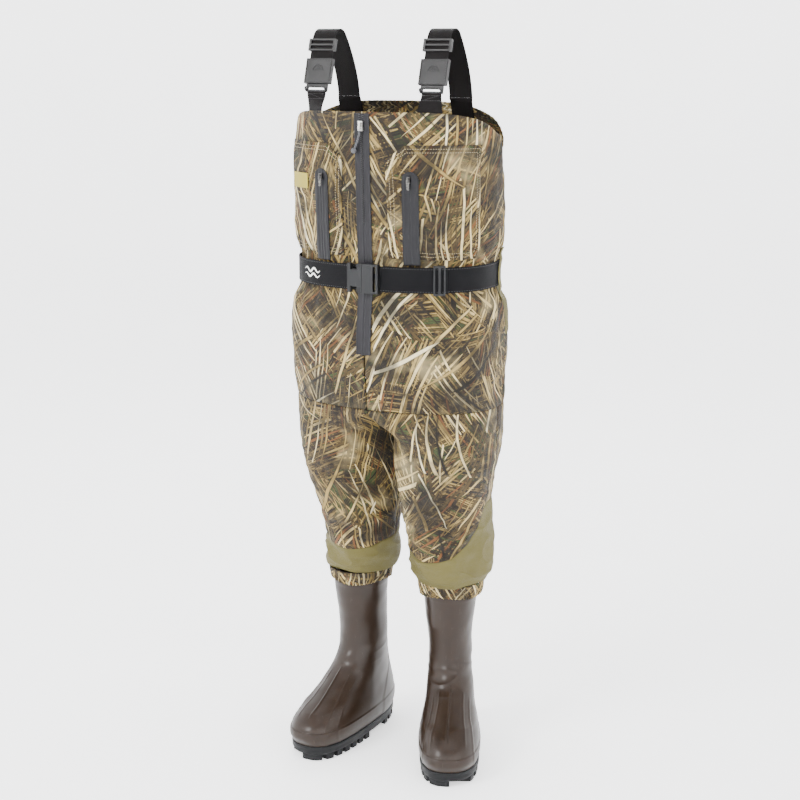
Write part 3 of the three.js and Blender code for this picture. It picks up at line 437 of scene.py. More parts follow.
# ------------------------------------------------------------- mesh builders
def mesh_of(name, vertices, faces, corners=None):
    """A mesh object from vertices in design millimetres, lists of faces with equal
    corner counts, and optionally a UV in metres for each corner, in that order."""
    name = name.replace(" ", "_")
    mesh = bpy.data.meshes.new(name)
    vertices = np.asarray(vertices, float).reshape(-1, 3)
    faces = [np.asarray(f, int) for f in faces if len(f)]
    loops = np.concatenate([f.ravel() for f in faces])
    sizes = np.concatenate([np.full(len(f), f.shape[1]) for f in faces])
    mesh.vertices.add(len(vertices))
    mesh.vertices.foreach_set("co", ((vertices + SHIFT) / 1000).ravel())
    mesh.loops.add(len(loops))
    mesh.loops.foreach_set("vertex_index", loops)
    mesh.polygons.add(len(sizes))
    mesh.polygons.foreach_set("loop_start", np.concatenate([[0], sizes.cumsum()[:-1]]))
    mesh.update(calc_edges=True)
    if corners is not None:
        layer = mesh.uv_layers.new(name="Cloth")
        layer.data.foreach_set("uv", np.asarray(corners, float).ravel())
    mesh.validate()
    mesh.shade_smooth()
    made = bpy.data.objects.new(name, mesh)
    bpy.context.scene.collection.objects.link(made)
    return made


def grid(rows, columns, wrap=False):
    """Quads of a grid as vertex numbers, and the same corners as numbers in a UV
    grid, which is one column wider where the grid wraps."""
    steps = columns if wrap else columns - 1
    j, i = np.meshgrid(np.arange(rows - 1), np.arange(steps), indexing="ij")
    corner = [(j, i), (j, i + 1), (j + 1, i + 1), (j + 1, i)]
    wide = steps + 1
    quads = np.stack([a * columns + b % columns for a, b in corner], -1).reshape(-1, 4)
    places = np.stack([a * wide + b for a, b in corner], -1).reshape(-1, 4)
    return quads, places


def arc_uv(points, wrap=False):
    """UV in metres: level distance along each row, counted so that its middle keeps
    its x whichever way the row runs, and height."""
    ring = np.concatenate([points, points[:, :1]], axis=1) if wrap else points
    across = np.linalg.norm(np.diff(ring[..., :2], axis=1), axis=-1).cumsum(axis=1)
    across = np.concatenate([np.zeros((len(ring), 1)), across], axis=1)
    middle = across.shape[1] // 2
    way = np.sign(ring[-1, middle, 0] - ring[-1, middle - 1, 0])
    across += (way * ring[:, middle, 0] - across[:, middle])[:, None]
    return np.stack([across, ring[..., 2]], axis=-1) / 1000


def sheet_mesh(name, points, wrap=False, flip=False, uv_shift=(0, 0), caps=""):
    """A grid of points as one surface; caps names the rows, low and high, that a
    fan of triangles closes."""
    rows, columns = points.shape[:2]
    quads, places = grid(rows, columns, wrap)
    uv = arc_uv(points, wrap) + np.array(uv_shift)
    flat = uv.reshape(-1, 2)
    vertices = points.reshape(-1, 3)
    faces, corners = [quads], [flat[places.ravel()]]
    ring = np.arange(columns)
    for end, row in (("low", 0), ("high", rows - 1)):
        if end not in caps:
            continue
        middle = len(vertices)
        vertices = np.vstack([vertices, points[row].mean(axis=0)])
        ahead = (ring + 1) % columns
        fan = np.stack([np.full(columns, middle), row * columns + ahead, row * columns + ring], 1)
        fan = fan if end == "low" else fan[:, [0, 2, 1]]
        faces.append(fan)
        corners.append((vertices[fan.ravel()][:, :2]) / 1000)
    if flip:
        corners = [c.reshape(len(f), -1, 2)[:, ::-1].reshape(-1, 2) for f, c in zip(faces, corners)]
        faces = [f[:, ::-1] for f in faces]
    return mesh_of(name, vertices, faces, np.concatenate(corners))


def tube_mesh(name, path, across, out, half, thick, sides=6):
    """Webbing: a band of rounded section along a path of points, half wide each
    way along across, thick along out; closed at both ends."""
    turn = np.linspace(0, 2 * np.pi, 4 * sides, endpoint=False) + np.pi / (4 * sides)
    round_by = thick / 2
    a = np.cos(turn) * round_by + np.sign(np.cos(turn)) * (half - round_by)
    b = np.clip(np.sin(turn) * round_by * 1.25, -round_by, round_by)
    rings = path[:, None] + across[:, None] * a[None, :, None] + out[:, None] * b[None, :, None]
    made = sheet_mesh(name, rings, wrap=True, caps="low high")
    mesh = made.data
    reach = run_of(path) / 1000
    columns = len(turn)
    vertex = np.zeros(len(mesh.loops), np.int32)
    mesh.loops.foreach_get("vertex_index", vertex)
    row = np.minimum(vertex // columns, len(path) - 1)
    place = np.where(vertex < len(path) * columns, a[vertex % columns], 0) / 1000
    uv = np.stack([place, reach[row]], 1)
    mesh.uv_layers["Cloth"].data.foreach_set("uv", uv.ravel())
    return made


def facing_out(made):
    """Turns a closed mesh's faces outwards if its volume comes out negative."""
    mesh = made.data
    mesh.calc_loop_triangles()
    co = np.zeros(len(mesh.vertices) * 3)
    mesh.vertices.foreach_get("co", co)
    tri = np.zeros(len(mesh.loop_triangles) * 3, np.int32)
    mesh.loop_triangles.foreach_get("vertices", tri)
    corner = co.reshape(-1, 3)[tri].reshape(-1, 3, 3)
    if np.einsum("ij,ij->i", corner[:, 0], np.cross(corner[:, 1], corner[:, 2])).sum() < 0:
        mesh.flip_normals()
    return made


def scattered(name, places, ways, ups, template, faces):
    """Copies of a small template at each place, its x along ways and z along ups."""
    ways = ways / np.linalg.norm(ways, axis=1, keepdims=True)
    sides = np.cross(ups, ways)
    sides /= np.linalg.norm(sides, axis=1, keepdims=True)
    tops = np.cross(ways, sides)
    axes = np.stack([ways, sides, tops], 1)
    vertices = places[:, None] + np.einsum("tk,nkj->ntj", template, axes)
    start = np.arange(len(places))[:, None, None] * len(template)
    return facing_out(mesh_of(name, vertices, [(f[None] + start).reshape(-1, f.shape[1]) for f in faces]))


def stitch_template(length, width, height):
    """A spindle: a point at each end and two rings of four between."""
    ring = np.array([[0, 1, 0], [0, 0, 1], [0, -1, 0], [0, 0, -1]]) * (1, width / 2, height / 2)
    near, far = ring - (length * 0.32, 0, 0), ring + (length * 0.32, 0, 0)
    template = np.vstack([near, far, [[-length / 2, 0, -height * 0.3], [length / 2, 0, -height * 0.3]]])
    i = np.arange(4)
    k = (i + 1) % 4
    quads = np.stack([i, k, k + 4, i + 4], 1)
    ends = np.vstack([np.stack([k, i, i * 0 + 8], 1), np.stack([i + 4, k + 4, i * 0 + 9], 1)])
    return template, [quads, ends]


def block_template(length, width, height):
    """A box with its top edges drawn in, for teeth and grip ribs."""
    low = np.array([[-1, -1], [1, -1], [1, 1], [-1, 1]]) / 2 * (length, width)
    bottom = np.column_stack([low, np.zeros(4)])
    top = np.column_stack([low * 0.72, np.full(4, height)])
    i = np.arange(4)
    k = (i + 1) % 4
    sides = np.stack([i, k, k + 4, i + 4], 1)
    return np.vstack([bottom, top]), [np.vstack([sides, [[3, 2, 1, 0]], [[4, 5, 6, 7]]])]


def stitches(name, lines, material, body="root", pitch=4.6, length=3.2):
    """Thread along lines, each a (points, normals) pair: a spindle every pitch."""
    places, ways, ups = [], [], []
    for points, normals in lines:
        reach = run_of(points)
        at = np.arange(pitch / 2, reach[-1], pitch)
        pick = lambda where, rows: np.stack([np.interp(where, reach, column) for column in rows.T], 1)
        places.append(pick(at, points))
        ways.append(pick(at + 0.5, points) - pick(at - 0.5, points))
        ups.append(pick(at, normals))
    made = scattered(
        name, np.vstack(places), np.vstack(ways), np.vstack(ups), *stitch_template(length, 0.9, 0.7)
    )
    return finish_piece(made, material, body)


def finish_piece(made, material, body="root", replaces=(), thickness=0, bevel=0):
    """Gives a piece its material, thickness and bevel, and ties it to the frame."""
    made.data.materials.append(bpy.data.materials[material])
    if thickness:
        solid = made.modifiers.new("Thickness", "SOLIDIFY")
        solid.thickness = thickness / 1000
        solid.offset = -1
    if bevel:
        edge = made.modifiers.new("Edges", "BEVEL")
        edge.width = bevel / 1000
        edge.segments = 2
        edge.limit_method = "ANGLE"
        edge.angle_limit = math.radians(32)
        edge.harden_normals = True
    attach(made, body)
    if replaces:
        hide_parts(*replaces)
    return made


def cad_copy(node, name):
    """A merged copy of a CAD node, for a bevel to soften."""
    source = frame["nodes"][node]
    mesh = source.data
    co = np.zeros(len(mesh.vertices) * 3)
    mesh.vertices.foreach_get("co", co)
    co = co.reshape(-1, 3)
    whole, index = np.unique(np.round(co, 6), axis=0, return_inverse=True)
    index = index.reshape(-1)
    mesh.calc_loop_triangles()
    tri = np.zeros(len(mesh.loop_triangles) * 3, np.int32)
    mesh.loop_triangles.foreach_get("vertices", tri)
    tri = index[tri].reshape(-1, 3)
    whole_faces = (tri[:, 0] != tri[:, 1]) & (tri[:, 1] != tri[:, 2]) & (tri[:, 0] != tri[:, 2])
    made = mesh_of(name, whole * 1000 - SHIFT, [tri[whole_faces]])
    merge_flat(made)
    return made


def merge_flat(made):
    """Dissolves the edges between triangles that lie in one plane."""
    work = bmesh.new()
    work.from_mesh(made.data)
    bmesh.ops.dissolve_limit(
        work, angle_limit=math.radians(1), verts=work.verts[:], edges=work.edges[:]
    )
    work.to_mesh(made.data)
    work.free()
    made.data.shade_smooth()


# ----------------------------------------------------------------- materials
def srgb(code):
    """A linear colour with alpha from an sRGB hex code."""
    parts = [int(code[i : i + 2], 16) / 255 for i in (1, 3, 5)]
    return (*[c / 12.92 if c <= 0.04045 else ((c + 0.055) / 1.055) ** 2.4 for c in parts], 1)


def colour(prop):
    """A colour of the panel's, with alpha."""
    return (*getattr(settings(), prop), 1)


SKIP = (None,) * 5  # a colour Mix node's sockets between its factor and its colours
STRAP_PLASTIC = "Dark grey acetal, spark texture"
BELT_PLASTIC = "Charcoal acetal, spark texture"


def wire(tree, kind, *inputs, out=0, stops=None, **props):
    """Adds a node of a kind such as TexNoise, or Math ADD where it has an operation:
    inputs are sockets to link or constants to set, None to leave, and stops are a
    ramp's colours. Returns the output numbered or named out, or all of the outputs
    where out is None."""
    kind, _, operation = kind.partition(" ")
    made = tree.nodes.new("ShaderNode" + kind)
    if operation:
        made.operation = operation
    for key, value in props.items():
        setattr(made, key, value)
    if stops:
        ramp = made.color_ramp.elements
        while len(ramp) < len(stops):
            ramp.new(0.5)
        for element, (position, shade) in zip(ramp, stops):
            element.position, element.color = position, shade
    for socket, value in zip(made.inputs, inputs):
        if isinstance(value, bpy.types.NodeSocket):
            tree.links.new(value, socket)
        elif value is not None:
            socket.default_value = value
    return made.outputs if out is None else made.outputs[out]


def surface(name, base, roughness, height=None, depth=0.0004, **constants):
    """A material from a colour and roughness (sockets or constants), and a height
    in metres for its bump. Other constants go straight on the shader."""
    tree = bpy.data.materials[name].node_tree
    shader = tree.nodes["Principled BSDF"]
    for socket, value in (("Base Color", base), ("Roughness", roughness)):
        if isinstance(value, bpy.types.NodeSocket):
            tree.links.new(value, shader.inputs[socket])
        else:
            shader.inputs[socket].default_value = value
    for socket, value in constants.items():
        shader.inputs[socket.replace("_", " ")].default_value = value
    if height is not None:
        bump = tree.nodes.new("ShaderNodeBump")
        bump.inputs["Distance"].default_value = depth
        tree.links.new(height, bump.inputs["Height"])
        tree.links.new(bump.outputs[0], shader.inputs["Normal"])


def begun(name):
    """A new material's node tree."""
    material = bpy.data.materials.new(name)
    material.use_nodes = True
    return material.node_tree


def weave(tree, uv, pitch):
    """Plain weave: the product of two sines across UV, one wave for two yarns. The
    yarns are drawn about half as coarse again as real ones, so that they show."""
    scaled = wire(tree, "VectorMath MULTIPLY", uv, (2 * math.pi / pitch,) * 3)
    parts = wire(tree, "SeparateXYZ", scaled, out=None)
    waves = [wire(tree, "Math SINE", parts[i]) for i in (0, 1)]
    return wire(tree, "Math MULTIPLY", *waves)


def reeds_group():
    """Reed blades: Voronoi cells each hold a turned set of parallel tapering
    strips; the outputs are the blade mask, a shade per blade, and its rim."""
    tree = bpy.data.node_groups.new("Reed blades", "ShaderNodeTree")
    for name, kind in (
        ("Vector", "NodeSocketVector"),
        ("Cells", "NodeSocketFloat"),
        ("Blades", "NodeSocketFloat"),
        ("Spread", "NodeSocketFloat"),
        ("Length", "NodeSocketFloat"),
        ("Width", "NodeSocketFloat"),
    ):
        tree.interface.new_socket(name, in_out="INPUT", socket_type=kind)
    for name in ("Mask", "Shade", "Rim"):
        tree.interface.new_socket(name, in_out="OUTPUT", socket_type="NodeSocketFloat")
    given = tree.nodes.new("NodeGroupInput").outputs
    vector, fineness = given["Vector"], given["Cells"]
    cells = wire(tree, "TexVoronoi", vector, None, fineness, voronoi_dimensions="2D", out=None)
    lots = wire(tree, "SeparateColor", cells["Color"], out=None)
    local = wire(tree, "VectorMath SUBTRACT", vector, cells["Position"])
    angle = wire(tree, "Math MULTIPLY", wire(tree, "Math SUBTRACT", lots[0], 0.5), given["Spread"])
    turned = wire(tree, "VectorRotate", local, None, None, angle, rotation_type="Z_AXIS")
    x, y, _ = wire(tree, "SeparateXYZ", turned, out=None)
    sway = wire(tree, "Math MULTIPLY_ADD", lots[1], 3.6, -1.8)
    bend = wire(tree, "Math MULTIPLY", wire(tree, "Math MULTIPLY", y, y), sway)
    count = wire(tree, "Math MULTIPLY", wire(tree, "Math ADD", x, bend), given["Blades"])
    index = wire(tree, "Math FLOOR", count)
    centred = wire(tree, "Math SUBTRACT", wire(tree, "Math FRACT", count), 0.5)
    across = wire(tree, "Math ABSOLUTE", centred)
    seed = wire(tree, "CombineXYZ", index, wire(tree, "Math MULTIPLY", lots[2], 91), 0)
    noise = wire(tree, "TexWhiteNoise", seed, noise_dimensions="2D", out=None)
    dice = wire(tree, "SeparateColor", noise["Color"], out=None)
    longer = wire(tree, "Math MULTIPLY_ADD", dice[0], 0.9, 0.35)
    reach = wire(tree, "Math MULTIPLY", given["Length"], longer)
    moved = wire(tree, "Math SUBTRACT", dice[1], 0.5)
    shift = wire(tree, "Math MULTIPLY", given["Length"], moved)
    far = wire(tree, "Math DIVIDE", wire(tree, "Math ADD", y, shift), reach)
    taper = wire(tree, "Math SUBTRACT", 1, wire(tree, "Math MULTIPLY", far, far))
    wider = wire(tree, "Math MULTIPLY_ADD", dice[2], 0.6, 0.4)
    width = wire(tree, "Math MULTIPLY", given["Width"], wider)
    drawn = wire(tree, "Math MULTIPLY", width, wire(tree, "Math MAXIMUM", taper, 0))
    edge = wire(tree, "Math SUBTRACT", drawn, across)
    mask = wire(tree, "MapRange", edge, -0.01, 0.05, 0, 1)
    rim = wire(tree, "MapRange", edge, -0.16, 0.0, 0, 1)
    left = tree.nodes.new("NodeGroupOutput").inputs
    tree.links.new(mask, left["Mask"])
    tree.links.new(noise["Value"], left["Shade"])
    tree.links.new(rim, left["Rim"])
    return tree


def camouflage(name, moved):
    """Printed marsh camouflage on woven nylon: leaf litter, then three layers of
    reed blades from fine to broad, each with a dark rim, over a plain weave."""
    tree = begun(name)
    uv = wire(tree, "UVMap", uv_map="Cloth")
    size = settings().print_size
    place = wire(tree, "Mapping", uv, moved, None, (1 / size,) * 3)
    warp = wire(tree, "TexNoise", place, None, 9, 2, out="Color")
    nudge = wire(tree, "VectorMath SUBTRACT", warp, (0.5,) * 3)
    place = wire(tree, "VectorMath MULTIPLY_ADD", nudge, (0.009,) * 3, place)
    tones = [srgb(c) for c in ("#0f0b06", "#251b0e", "#493a1d", "#766135",
                               "#9c8349", "#c2aa70", "#dfcb95", "#eadcb2")]
    green, rust = srgb("#36431f"), srgb("#6e4521")
    clutter = wire(tree, "TexNoise", place, None, 95, 5, 0.7)
    litter = wire(tree, "ValToRGB", clutter, stops=(
        (0.36, tones[0]), (0.46, tones[1]), (0.54, tones[2]), (0.62, tones[3]), (0.74, tones[5])))
    patch = wire(tree, "TexNoise", place, None, 7, 3, 0.6)
    leafy = wire(tree, "MapRange", patch, 0.6, 0.64, 0, 0.85)
    base = wire(tree, "Mix", leafy, *SKIP, litter, green, data_type="RGBA", out=2)
    # Each layer: the group's five values, its offset, the share left out, its shades.
    layers = (
        (15, 240, 5.0, 0.05, 0.5, (0, 0, 0), 0.0,
         (tones[1], tones[3], green, tones[2], tones[4], tones[0])),
        (10, 150, 2.4, 0.075, 0.42, (3.1, 1.7, 0), 0.2,
         (tones[3], tones[5], tones[1], tones[4], rust, tones[2])),
        (7, 105, 1.7, 0.11, 0.3, (7.3, 5.2, 0), 0.42,
         (tones[4], tones[6], tones[3], tones[5], tones[2], tones[6])),
        (5.5, 52, 2.3, 0.13, 0.22, (1.3, 8.2, 0), 0.62,
         (tones[5], tones[4], tones[7], tones[0], tones[4], tones[6])),
    )
    group = reeds_group()
    for cells, blades, spread, length, width, offset, rare, shades in layers:
        at = wire(tree, "VectorMath ADD", place, offset)
        reeds = wire(tree, "Group", at, cells, blades, spread, length, width, node_tree=group, out=None)
        shade = reeds["Shade"]
        kept = wire(tree, "Math GREATER_THAN", shade, rare)
        spread_out = wire(tree, "MapRange", shade, rare, 1, 0, 1)
        stops = [(i / len(shades), c) for i, c in enumerate(shades)]
        tint = wire(tree, "ValToRGB", spread_out, stops=stops)
        tree.nodes[-1].color_ramp.interpolation = "CONSTANT"
        outline = wire(tree, "Math MULTIPLY", reeds["Rim"], kept)
        rim = wire(tree, "Math MULTIPLY", outline, 0.62)
        base = wire(tree, "Mix", rim, *SKIP, base, tones[0], data_type="RGBA", out=2)
        mask = wire(tree, "Math MULTIPLY", reeds["Mask"], kept)
        grain = wire(tree, "TexNoise", at, None, 420, 2)
        lift = wire(tree, "MapRange", grain, 0.3, 0.7, 0.78, 1.08)
        streaked = wire(tree, "Mix", 1.0, *SKIP, tint, lift, data_type="RGBA", blend_type="MULTIPLY", out=2)
        base = wire(tree, "Mix", mask, *SKIP, base, streaked, data_type="RGBA", out=2)
    depth = wire(tree, "TexNoise", place, None, 13, 3, 0.55)
    apart = wire(tree, "VectorMath ADD", place, (4.1, 2.6, 0))
    glow = wire(tree, "TexNoise", apart, None, 10, 3, 0.6)
    lit = wire(tree, "MapRange", glow, 0.56, 0.7, 0.0, 0.26)
    base = wire(tree, "Mix", lit, *SKIP, base, tones[6], data_type="RGBA", out=2)
    shadow = wire(tree, "MapRange", depth, 0.45, 0.61, 0.0, 0.8)
    base = wire(tree, "Mix", shadow, *SKIP, base, tones[0], data_type="RGBA", out=2)
    crumple = wire(tree, "TexNoise", uv, None, 55, 4, 0.6)
    height = wire(tree, "Math MULTIPLY_ADD", crumple, 3.2, weave(tree, uv, 0.0011))
    rough = wire(tree, "MapRange", crumple, 0.3, 0.7, 0.62, 0.8)
    surface(name, base, rough, height, 0.00028, Specular_IOR_Level=0.3)


def plain_cloth(name, prop, pitch):
    """Plain dyed nylon: slight shade variation along the yarns and soft crumples."""
    tree = begun(name)
    uv = wire(tree, "UVMap", uv_map="Cloth")
    stretched = wire(tree, "Mapping", uv, None, None, (60, 900, 1))
    yarn = wire(tree, "TexNoise", stretched, None, 1, 2)
    broad = wire(tree, "TexNoise", uv, None, 9, 4)
    mixed = wire(tree, "Math MULTIPLY_ADD", yarn, 0.5, wire(tree, "Math MULTIPLY", broad, 0.5))
    lift = wire(tree, "MapRange", mixed, 0.3, 0.7, 0.86, 1.12)
    base = wire(tree, "Mix", 1.0, *SKIP, colour(prop), lift, data_type="RGBA", blend_type="MULTIPLY", out=2)
    crumple = wire(tree, "TexNoise", uv, None, 42, 5, 0.6)
    height = wire(tree, "Math MULTIPLY_ADD", crumple, 4, weave(tree, uv, pitch))
    rough = wire(tree, "MapRange", crumple, 0.3, 0.7, 0.6, 0.76)
    surface(name, base, rough, height, 0.00028, Specular_IOR_Level=0.3)


def webbing_material(name, prop, rib):
    """Woven webbing: ribs across its length, broken into two warp columns per yarn."""
    tree = begun(name)
    uv = wire(tree, "UVMap", uv_map="Cloth")
    scaled = wire(tree, "VectorMath MULTIPLY", uv, (2 * math.pi / 0.0024, 2 * math.pi / rib, 0))
    parts = wire(tree, "SeparateXYZ", scaled, out=None)
    warp = wire(tree, "Math SINE", parts[0])
    shifted = wire(tree, "Math MULTIPLY_ADD", wire(tree, "Math SIGN", warp), 1.57, parts[1])
    ribs = wire(tree, "Math SINE", shifted)
    height = wire(tree, "Math MULTIPLY_ADD", ribs, 0.7, wire(tree, "Math ABSOLUTE", warp))
    fuzz = wire(tree, "TexNoise", uv, None, 900, 3)
    # Painted highlight and shade: the colour follows the ribs' height, lighter on crests and darker in
    # grooves, plus random fuzz in the yarn's tone.
    fuzz_and_rib_shading = wire(tree, "MapRange", wire(tree, "Math MULTIPLY_ADD", fuzz, 1.4, height), 0, 2.6, 0.7, 1.7)
    base = wire(tree, "Mix", 1.0, *SKIP, colour(prop), fuzz_and_rib_shading, data_type="RGBA", blend_type="MULTIPLY", out=2)
    rough = wire(tree, "MapRange", fuzz, 0.3, 0.7, 0.5, 0.68)
    surface(name, base, rough, height, 0.0002, Specular_IOR_Level=0.08)


def moulded(name, prop, grain, low, high, depth=0.00006, **constants):
    """Moulded plastic or rubber: a fine cast grain, counted in waves a metre, a
    roughness that varies softly from low to high, and faint scuffs."""
    tree = begun(name)
    place = wire(tree, "TexCoord", out="Object")
    cast = wire(tree, "TexNoise", place, None, grain, 3)
    broad = wire(tree, "TexNoise", place, None, 16, 4, 0.6)
    scuffs = wire(tree, "TexNoise", wire(tree, "Mapping", place, None, None, (300, 300, 40)), None, 1, 3)
    mark = wire(tree, "MapRange", scuffs, 0.62, 0.8, 0, 0.05)
    lift = wire(tree, "MapRange", broad, 0.3, 0.7, 0.86, 1.16)
    base = wire(tree, "Mix", 1.0, *SKIP, colour(prop), lift, data_type="RGBA", blend_type="MULTIPLY", out=2)
    worn = wire(tree, "Mix", mark, *SKIP, base, srgb("#8f8a84"), data_type="RGBA", out=2)
    gloss = wire(tree, "Math ADD", wire(tree, "MapRange", broad, 0.3, 0.7, low, high), mark)
    surface(name, worn, gloss, cast, depth, **constants)


def metal(name, code):
    """Plated zinc: fine tumbled grain with a little tarnish in patches."""
    tree = begun(name)
    place = wire(tree, "TexCoord", out="Object")
    broad = wire(tree, "TexNoise", place, None, 260, 4, 0.6)
    base = wire(tree, "ValToRGB", broad, stops=((0.35, srgb("#77756f")), (0.55, srgb(code))))
    rough = wire(tree, "MapRange", broad, 0.3, 0.7, 0.42, 0.24)
    surface(name, base, rough, broad, 0.00003, Metallic=1.0)


def felt(name, code):
    """Brushed felt: short fibres pulled one way, with a soft sheen."""
    tree = begun(name)
    place = wire(tree, "TexCoord", out="Object")
    pulled = wire(tree, "Mapping", place, None, None, (900, 900, 260))
    fibres = wire(tree, "TexNoise", pulled, None, 1, 4, 0.7)
    base = wire(tree, "ValToRGB", fibres, stops=((0.3, srgb("#3c3a35")), (0.68, srgb(code))))
    surface(name, base, 0.95, fibres, 0.0006, Sheen_Weight=0.5, Sheen_Roughness=0.6)


def braid(name, code):
    """Braided cord: two sets of diagonal ridges along its UV."""
    tree = begun(name)
    uv = wire(tree, "UVMap", uv_map="Cloth")
    scaled = wire(tree, "VectorMath MULTIPLY", uv, (2100, 2100, 1))
    parts = wire(tree, "SeparateXYZ", scaled, out=None)
    one = wire(tree, "Math SINE", wire(tree, "Math ADD", parts[0], parts[1]))
    two = wire(tree, "Math SINE", wire(tree, "Math SUBTRACT", parts[0], parts[1]))
    ridges = wire(tree, "Math MAXIMUM", one, two)
    lit = wire(tree, "MapRange", ridges, -0.4, 1, 0, 1)
    base = wire(tree, "ValToRGB", lit, stops=((0, srgb("#1b1c1f")), (1, srgb(code))))
    surface(name, base, 0.7, ridges, 0.0003, Sheen_Weight=0.3, Sheen_Roughness=0.5)


def make_materials():
    """Every material, named for what it is made of and how it is finished."""
    moulded_gloss = {"Coat_Weight": 0.14, "Coat_Roughness": 0.14, "Specular_IOR_Level": 0.2}
    for index, part in enumerate(("front left", "front right", "back", "legs", "hems", "pockets")):
        # Woven nylon printed with a marsh reed pattern, matt with a faint sheen
        camouflage(f"Camouflage nylon, {part}", (index * 1.37, index * 0.71, 0))
    plain_cloth("Olive nylon, matt", "olive", 0.0012)  # shins, yoke and loops
    webbing_material("Black polypropylene webbing", "webbing", 0.0034)  # shoulder straps
    webbing_material("Black belt webbing", "belt", 0.0030)  # waist belt
    # Moulded grains are a few tenths of a millimetre, coarser than real, so they show.
    # Spark-eroded mould faces give both acetals a fine matt surface
    moulded(STRAP_PLASTIC, "buckle", 2600, 0.42, 0.56, Specular_IOR_Level=0.3)
    moulded(BELT_PLASTIC, "belt_buckle", 2600, 0.4, 0.52, Specular_IOR_Level=0.3)
    moulded("Coated zip tape, satin", "tape", 1800, 0.36, 0.48, Specular_IOR_Level=0.24)
    moulded("Black coated pocket zip, satin", "pocket_tape", 1800, 0.34, 0.46, Specular_IOR_Level=0.24)
    moulded("Black nylon coil, satin", "coil", 1500, 0.35, 0.5)  # zip teeth
    metal("Nickel plated zinc", "#c9c8c4")  # front slider
    metal("Black plated zinc", "#4b4a49")  # pocket sliders
    moulded("Brown boot rubber, glossy", "boot", 700, 0.34, 0.46, 0.00005, **moulded_gloss)
    moulded("Black outsole rubber, matt", "sole", 900, 0.5, 0.66, 0.0001, Specular_IOR_Level=0.22)
    moulded("Yellow moulded rubber, matt", "label", 900, 0.5, 0.62)  # small patch
    moulded("Grey moulded rubber knob", "knob", 1200, 0.45, 0.6)
    felt("Grey brushed felt", "#7d7970")  # boot liners
    felt("Dark felt insole", "#5a564e")
    braid("Grey braided cord", "#3c3e44")
    moulded("Tan sewing thread", "thread", 2000, 0.6, 0.75)
    moulded("Black bonded thread", "dark_thread", 2000, 0.5, 0.65)
    moulded("White embroidery thread", "mark", 2000, 0.55, 0.7)
    tree = begun("White studio paper")
    place = wire(tree, "TexCoord", out="Object")
    grain = wire(tree, "TexNoise", place, None, 3, 2)
    shade = wire(tree, "ValToRGB", grain, stops=((0, srgb("#f4f4f4")), (1, srgb("#fbfbfb"))))
    surface("White studio paper", shade, 0.9, Emission_Color=(1, 1, 1, 1), Emission_Strength=0.9)


# -------------------------------------------------------------------- pieces
SEAM_HALF = 0.15  # each panel stops this far short of a level seam
SEAM_DEG = 0.1  # and this many degrees short of an upright one
CAMO = "Camouflage nylon, "


def seam_dip(distance):
    """The cloth is drawn in beside a seam."""
    return -1.5 * np.exp(-np.abs(distance) / 3.2)


def torso_piece(name, node, span, low, high, material, columns, rows):
    """A panel of the torso between two edges, drawn in and puckered at its seams."""
    middle = 0.5 * (low(span[0]) + high(span[1]))
    degrees = even(lambda d: torso(d, np.full_like(d, middle)), *span, columns)
    v = np.linspace(0, 1, rows)[:, None]
    d = np.broadcast_to(degrees, (rows, columns))
    z = low(d) + (high(d) - low(d)) * v
    points = torso_cloth(d, z)
    reach = run_of(points[rows // 2])
    edge = np.minimum(reach, reach[-1] - reach)[None]
    up = np.minimum(z - low(d), high(d) - z)
    inward = seam_dip(edge) + seam_dip(up)
    pucker = 0.45 * np.sin(z / 2.6 + 3 * swell(points, 71, 60)) * np.exp(-edge / 9)
    normal = normal_at(torso, d, z)
    points = points + normal * (inward + pucker)[..., None]
    made = sheet_mesh(name, points, uv_shift=(0, low(0.0) / 1000))
    finish_piece(made, material, replaces=(node,), thickness=CLOTH)


def build_front_panels():
    """The bib's two front panels, from the crotch to the rim."""
    for side, sign in SIDES:
        span = sorted((sign * SEAM_DEG, sign * (SIDE_SEAM - SEAM_DEG)))
        torso_piece(f"Front panel {side}", f"front_panel_{side}", span,
                    level(CROTCH_Z + SEAM_HALF), rim_z, CAMO + f"front {side}", 96, 170)


def build_back_panels():
    """The back from side seam to side seam: printed panels over and under the yoke."""
    span = (SIDE_SEAM + SEAM_DEG, 360 - SIDE_SEAM - SEAM_DEG)
    torso_piece("Back panel", "back_panel", span, level(YOKE_Z[1] + SEAM_HALF),
                lambda d: rim_z(d) - BACK_HEM - SEAM_HALF, CAMO + "back", 130, 96)
    torso_piece("Lower back panel", "seat_panel", span, level(CROTCH_Z + SEAM_HALF),
                level(YOKE_Z[0] - SEAM_HALF), CAMO + "back", 130, 46)
    torso_piece("Back yoke", "back_yoke", span, level(YOKE_Z[0] + SEAM_HALF),
                level(YOKE_Z[1] - SEAM_HALF), "Olive nylon, matt", 130, 36)


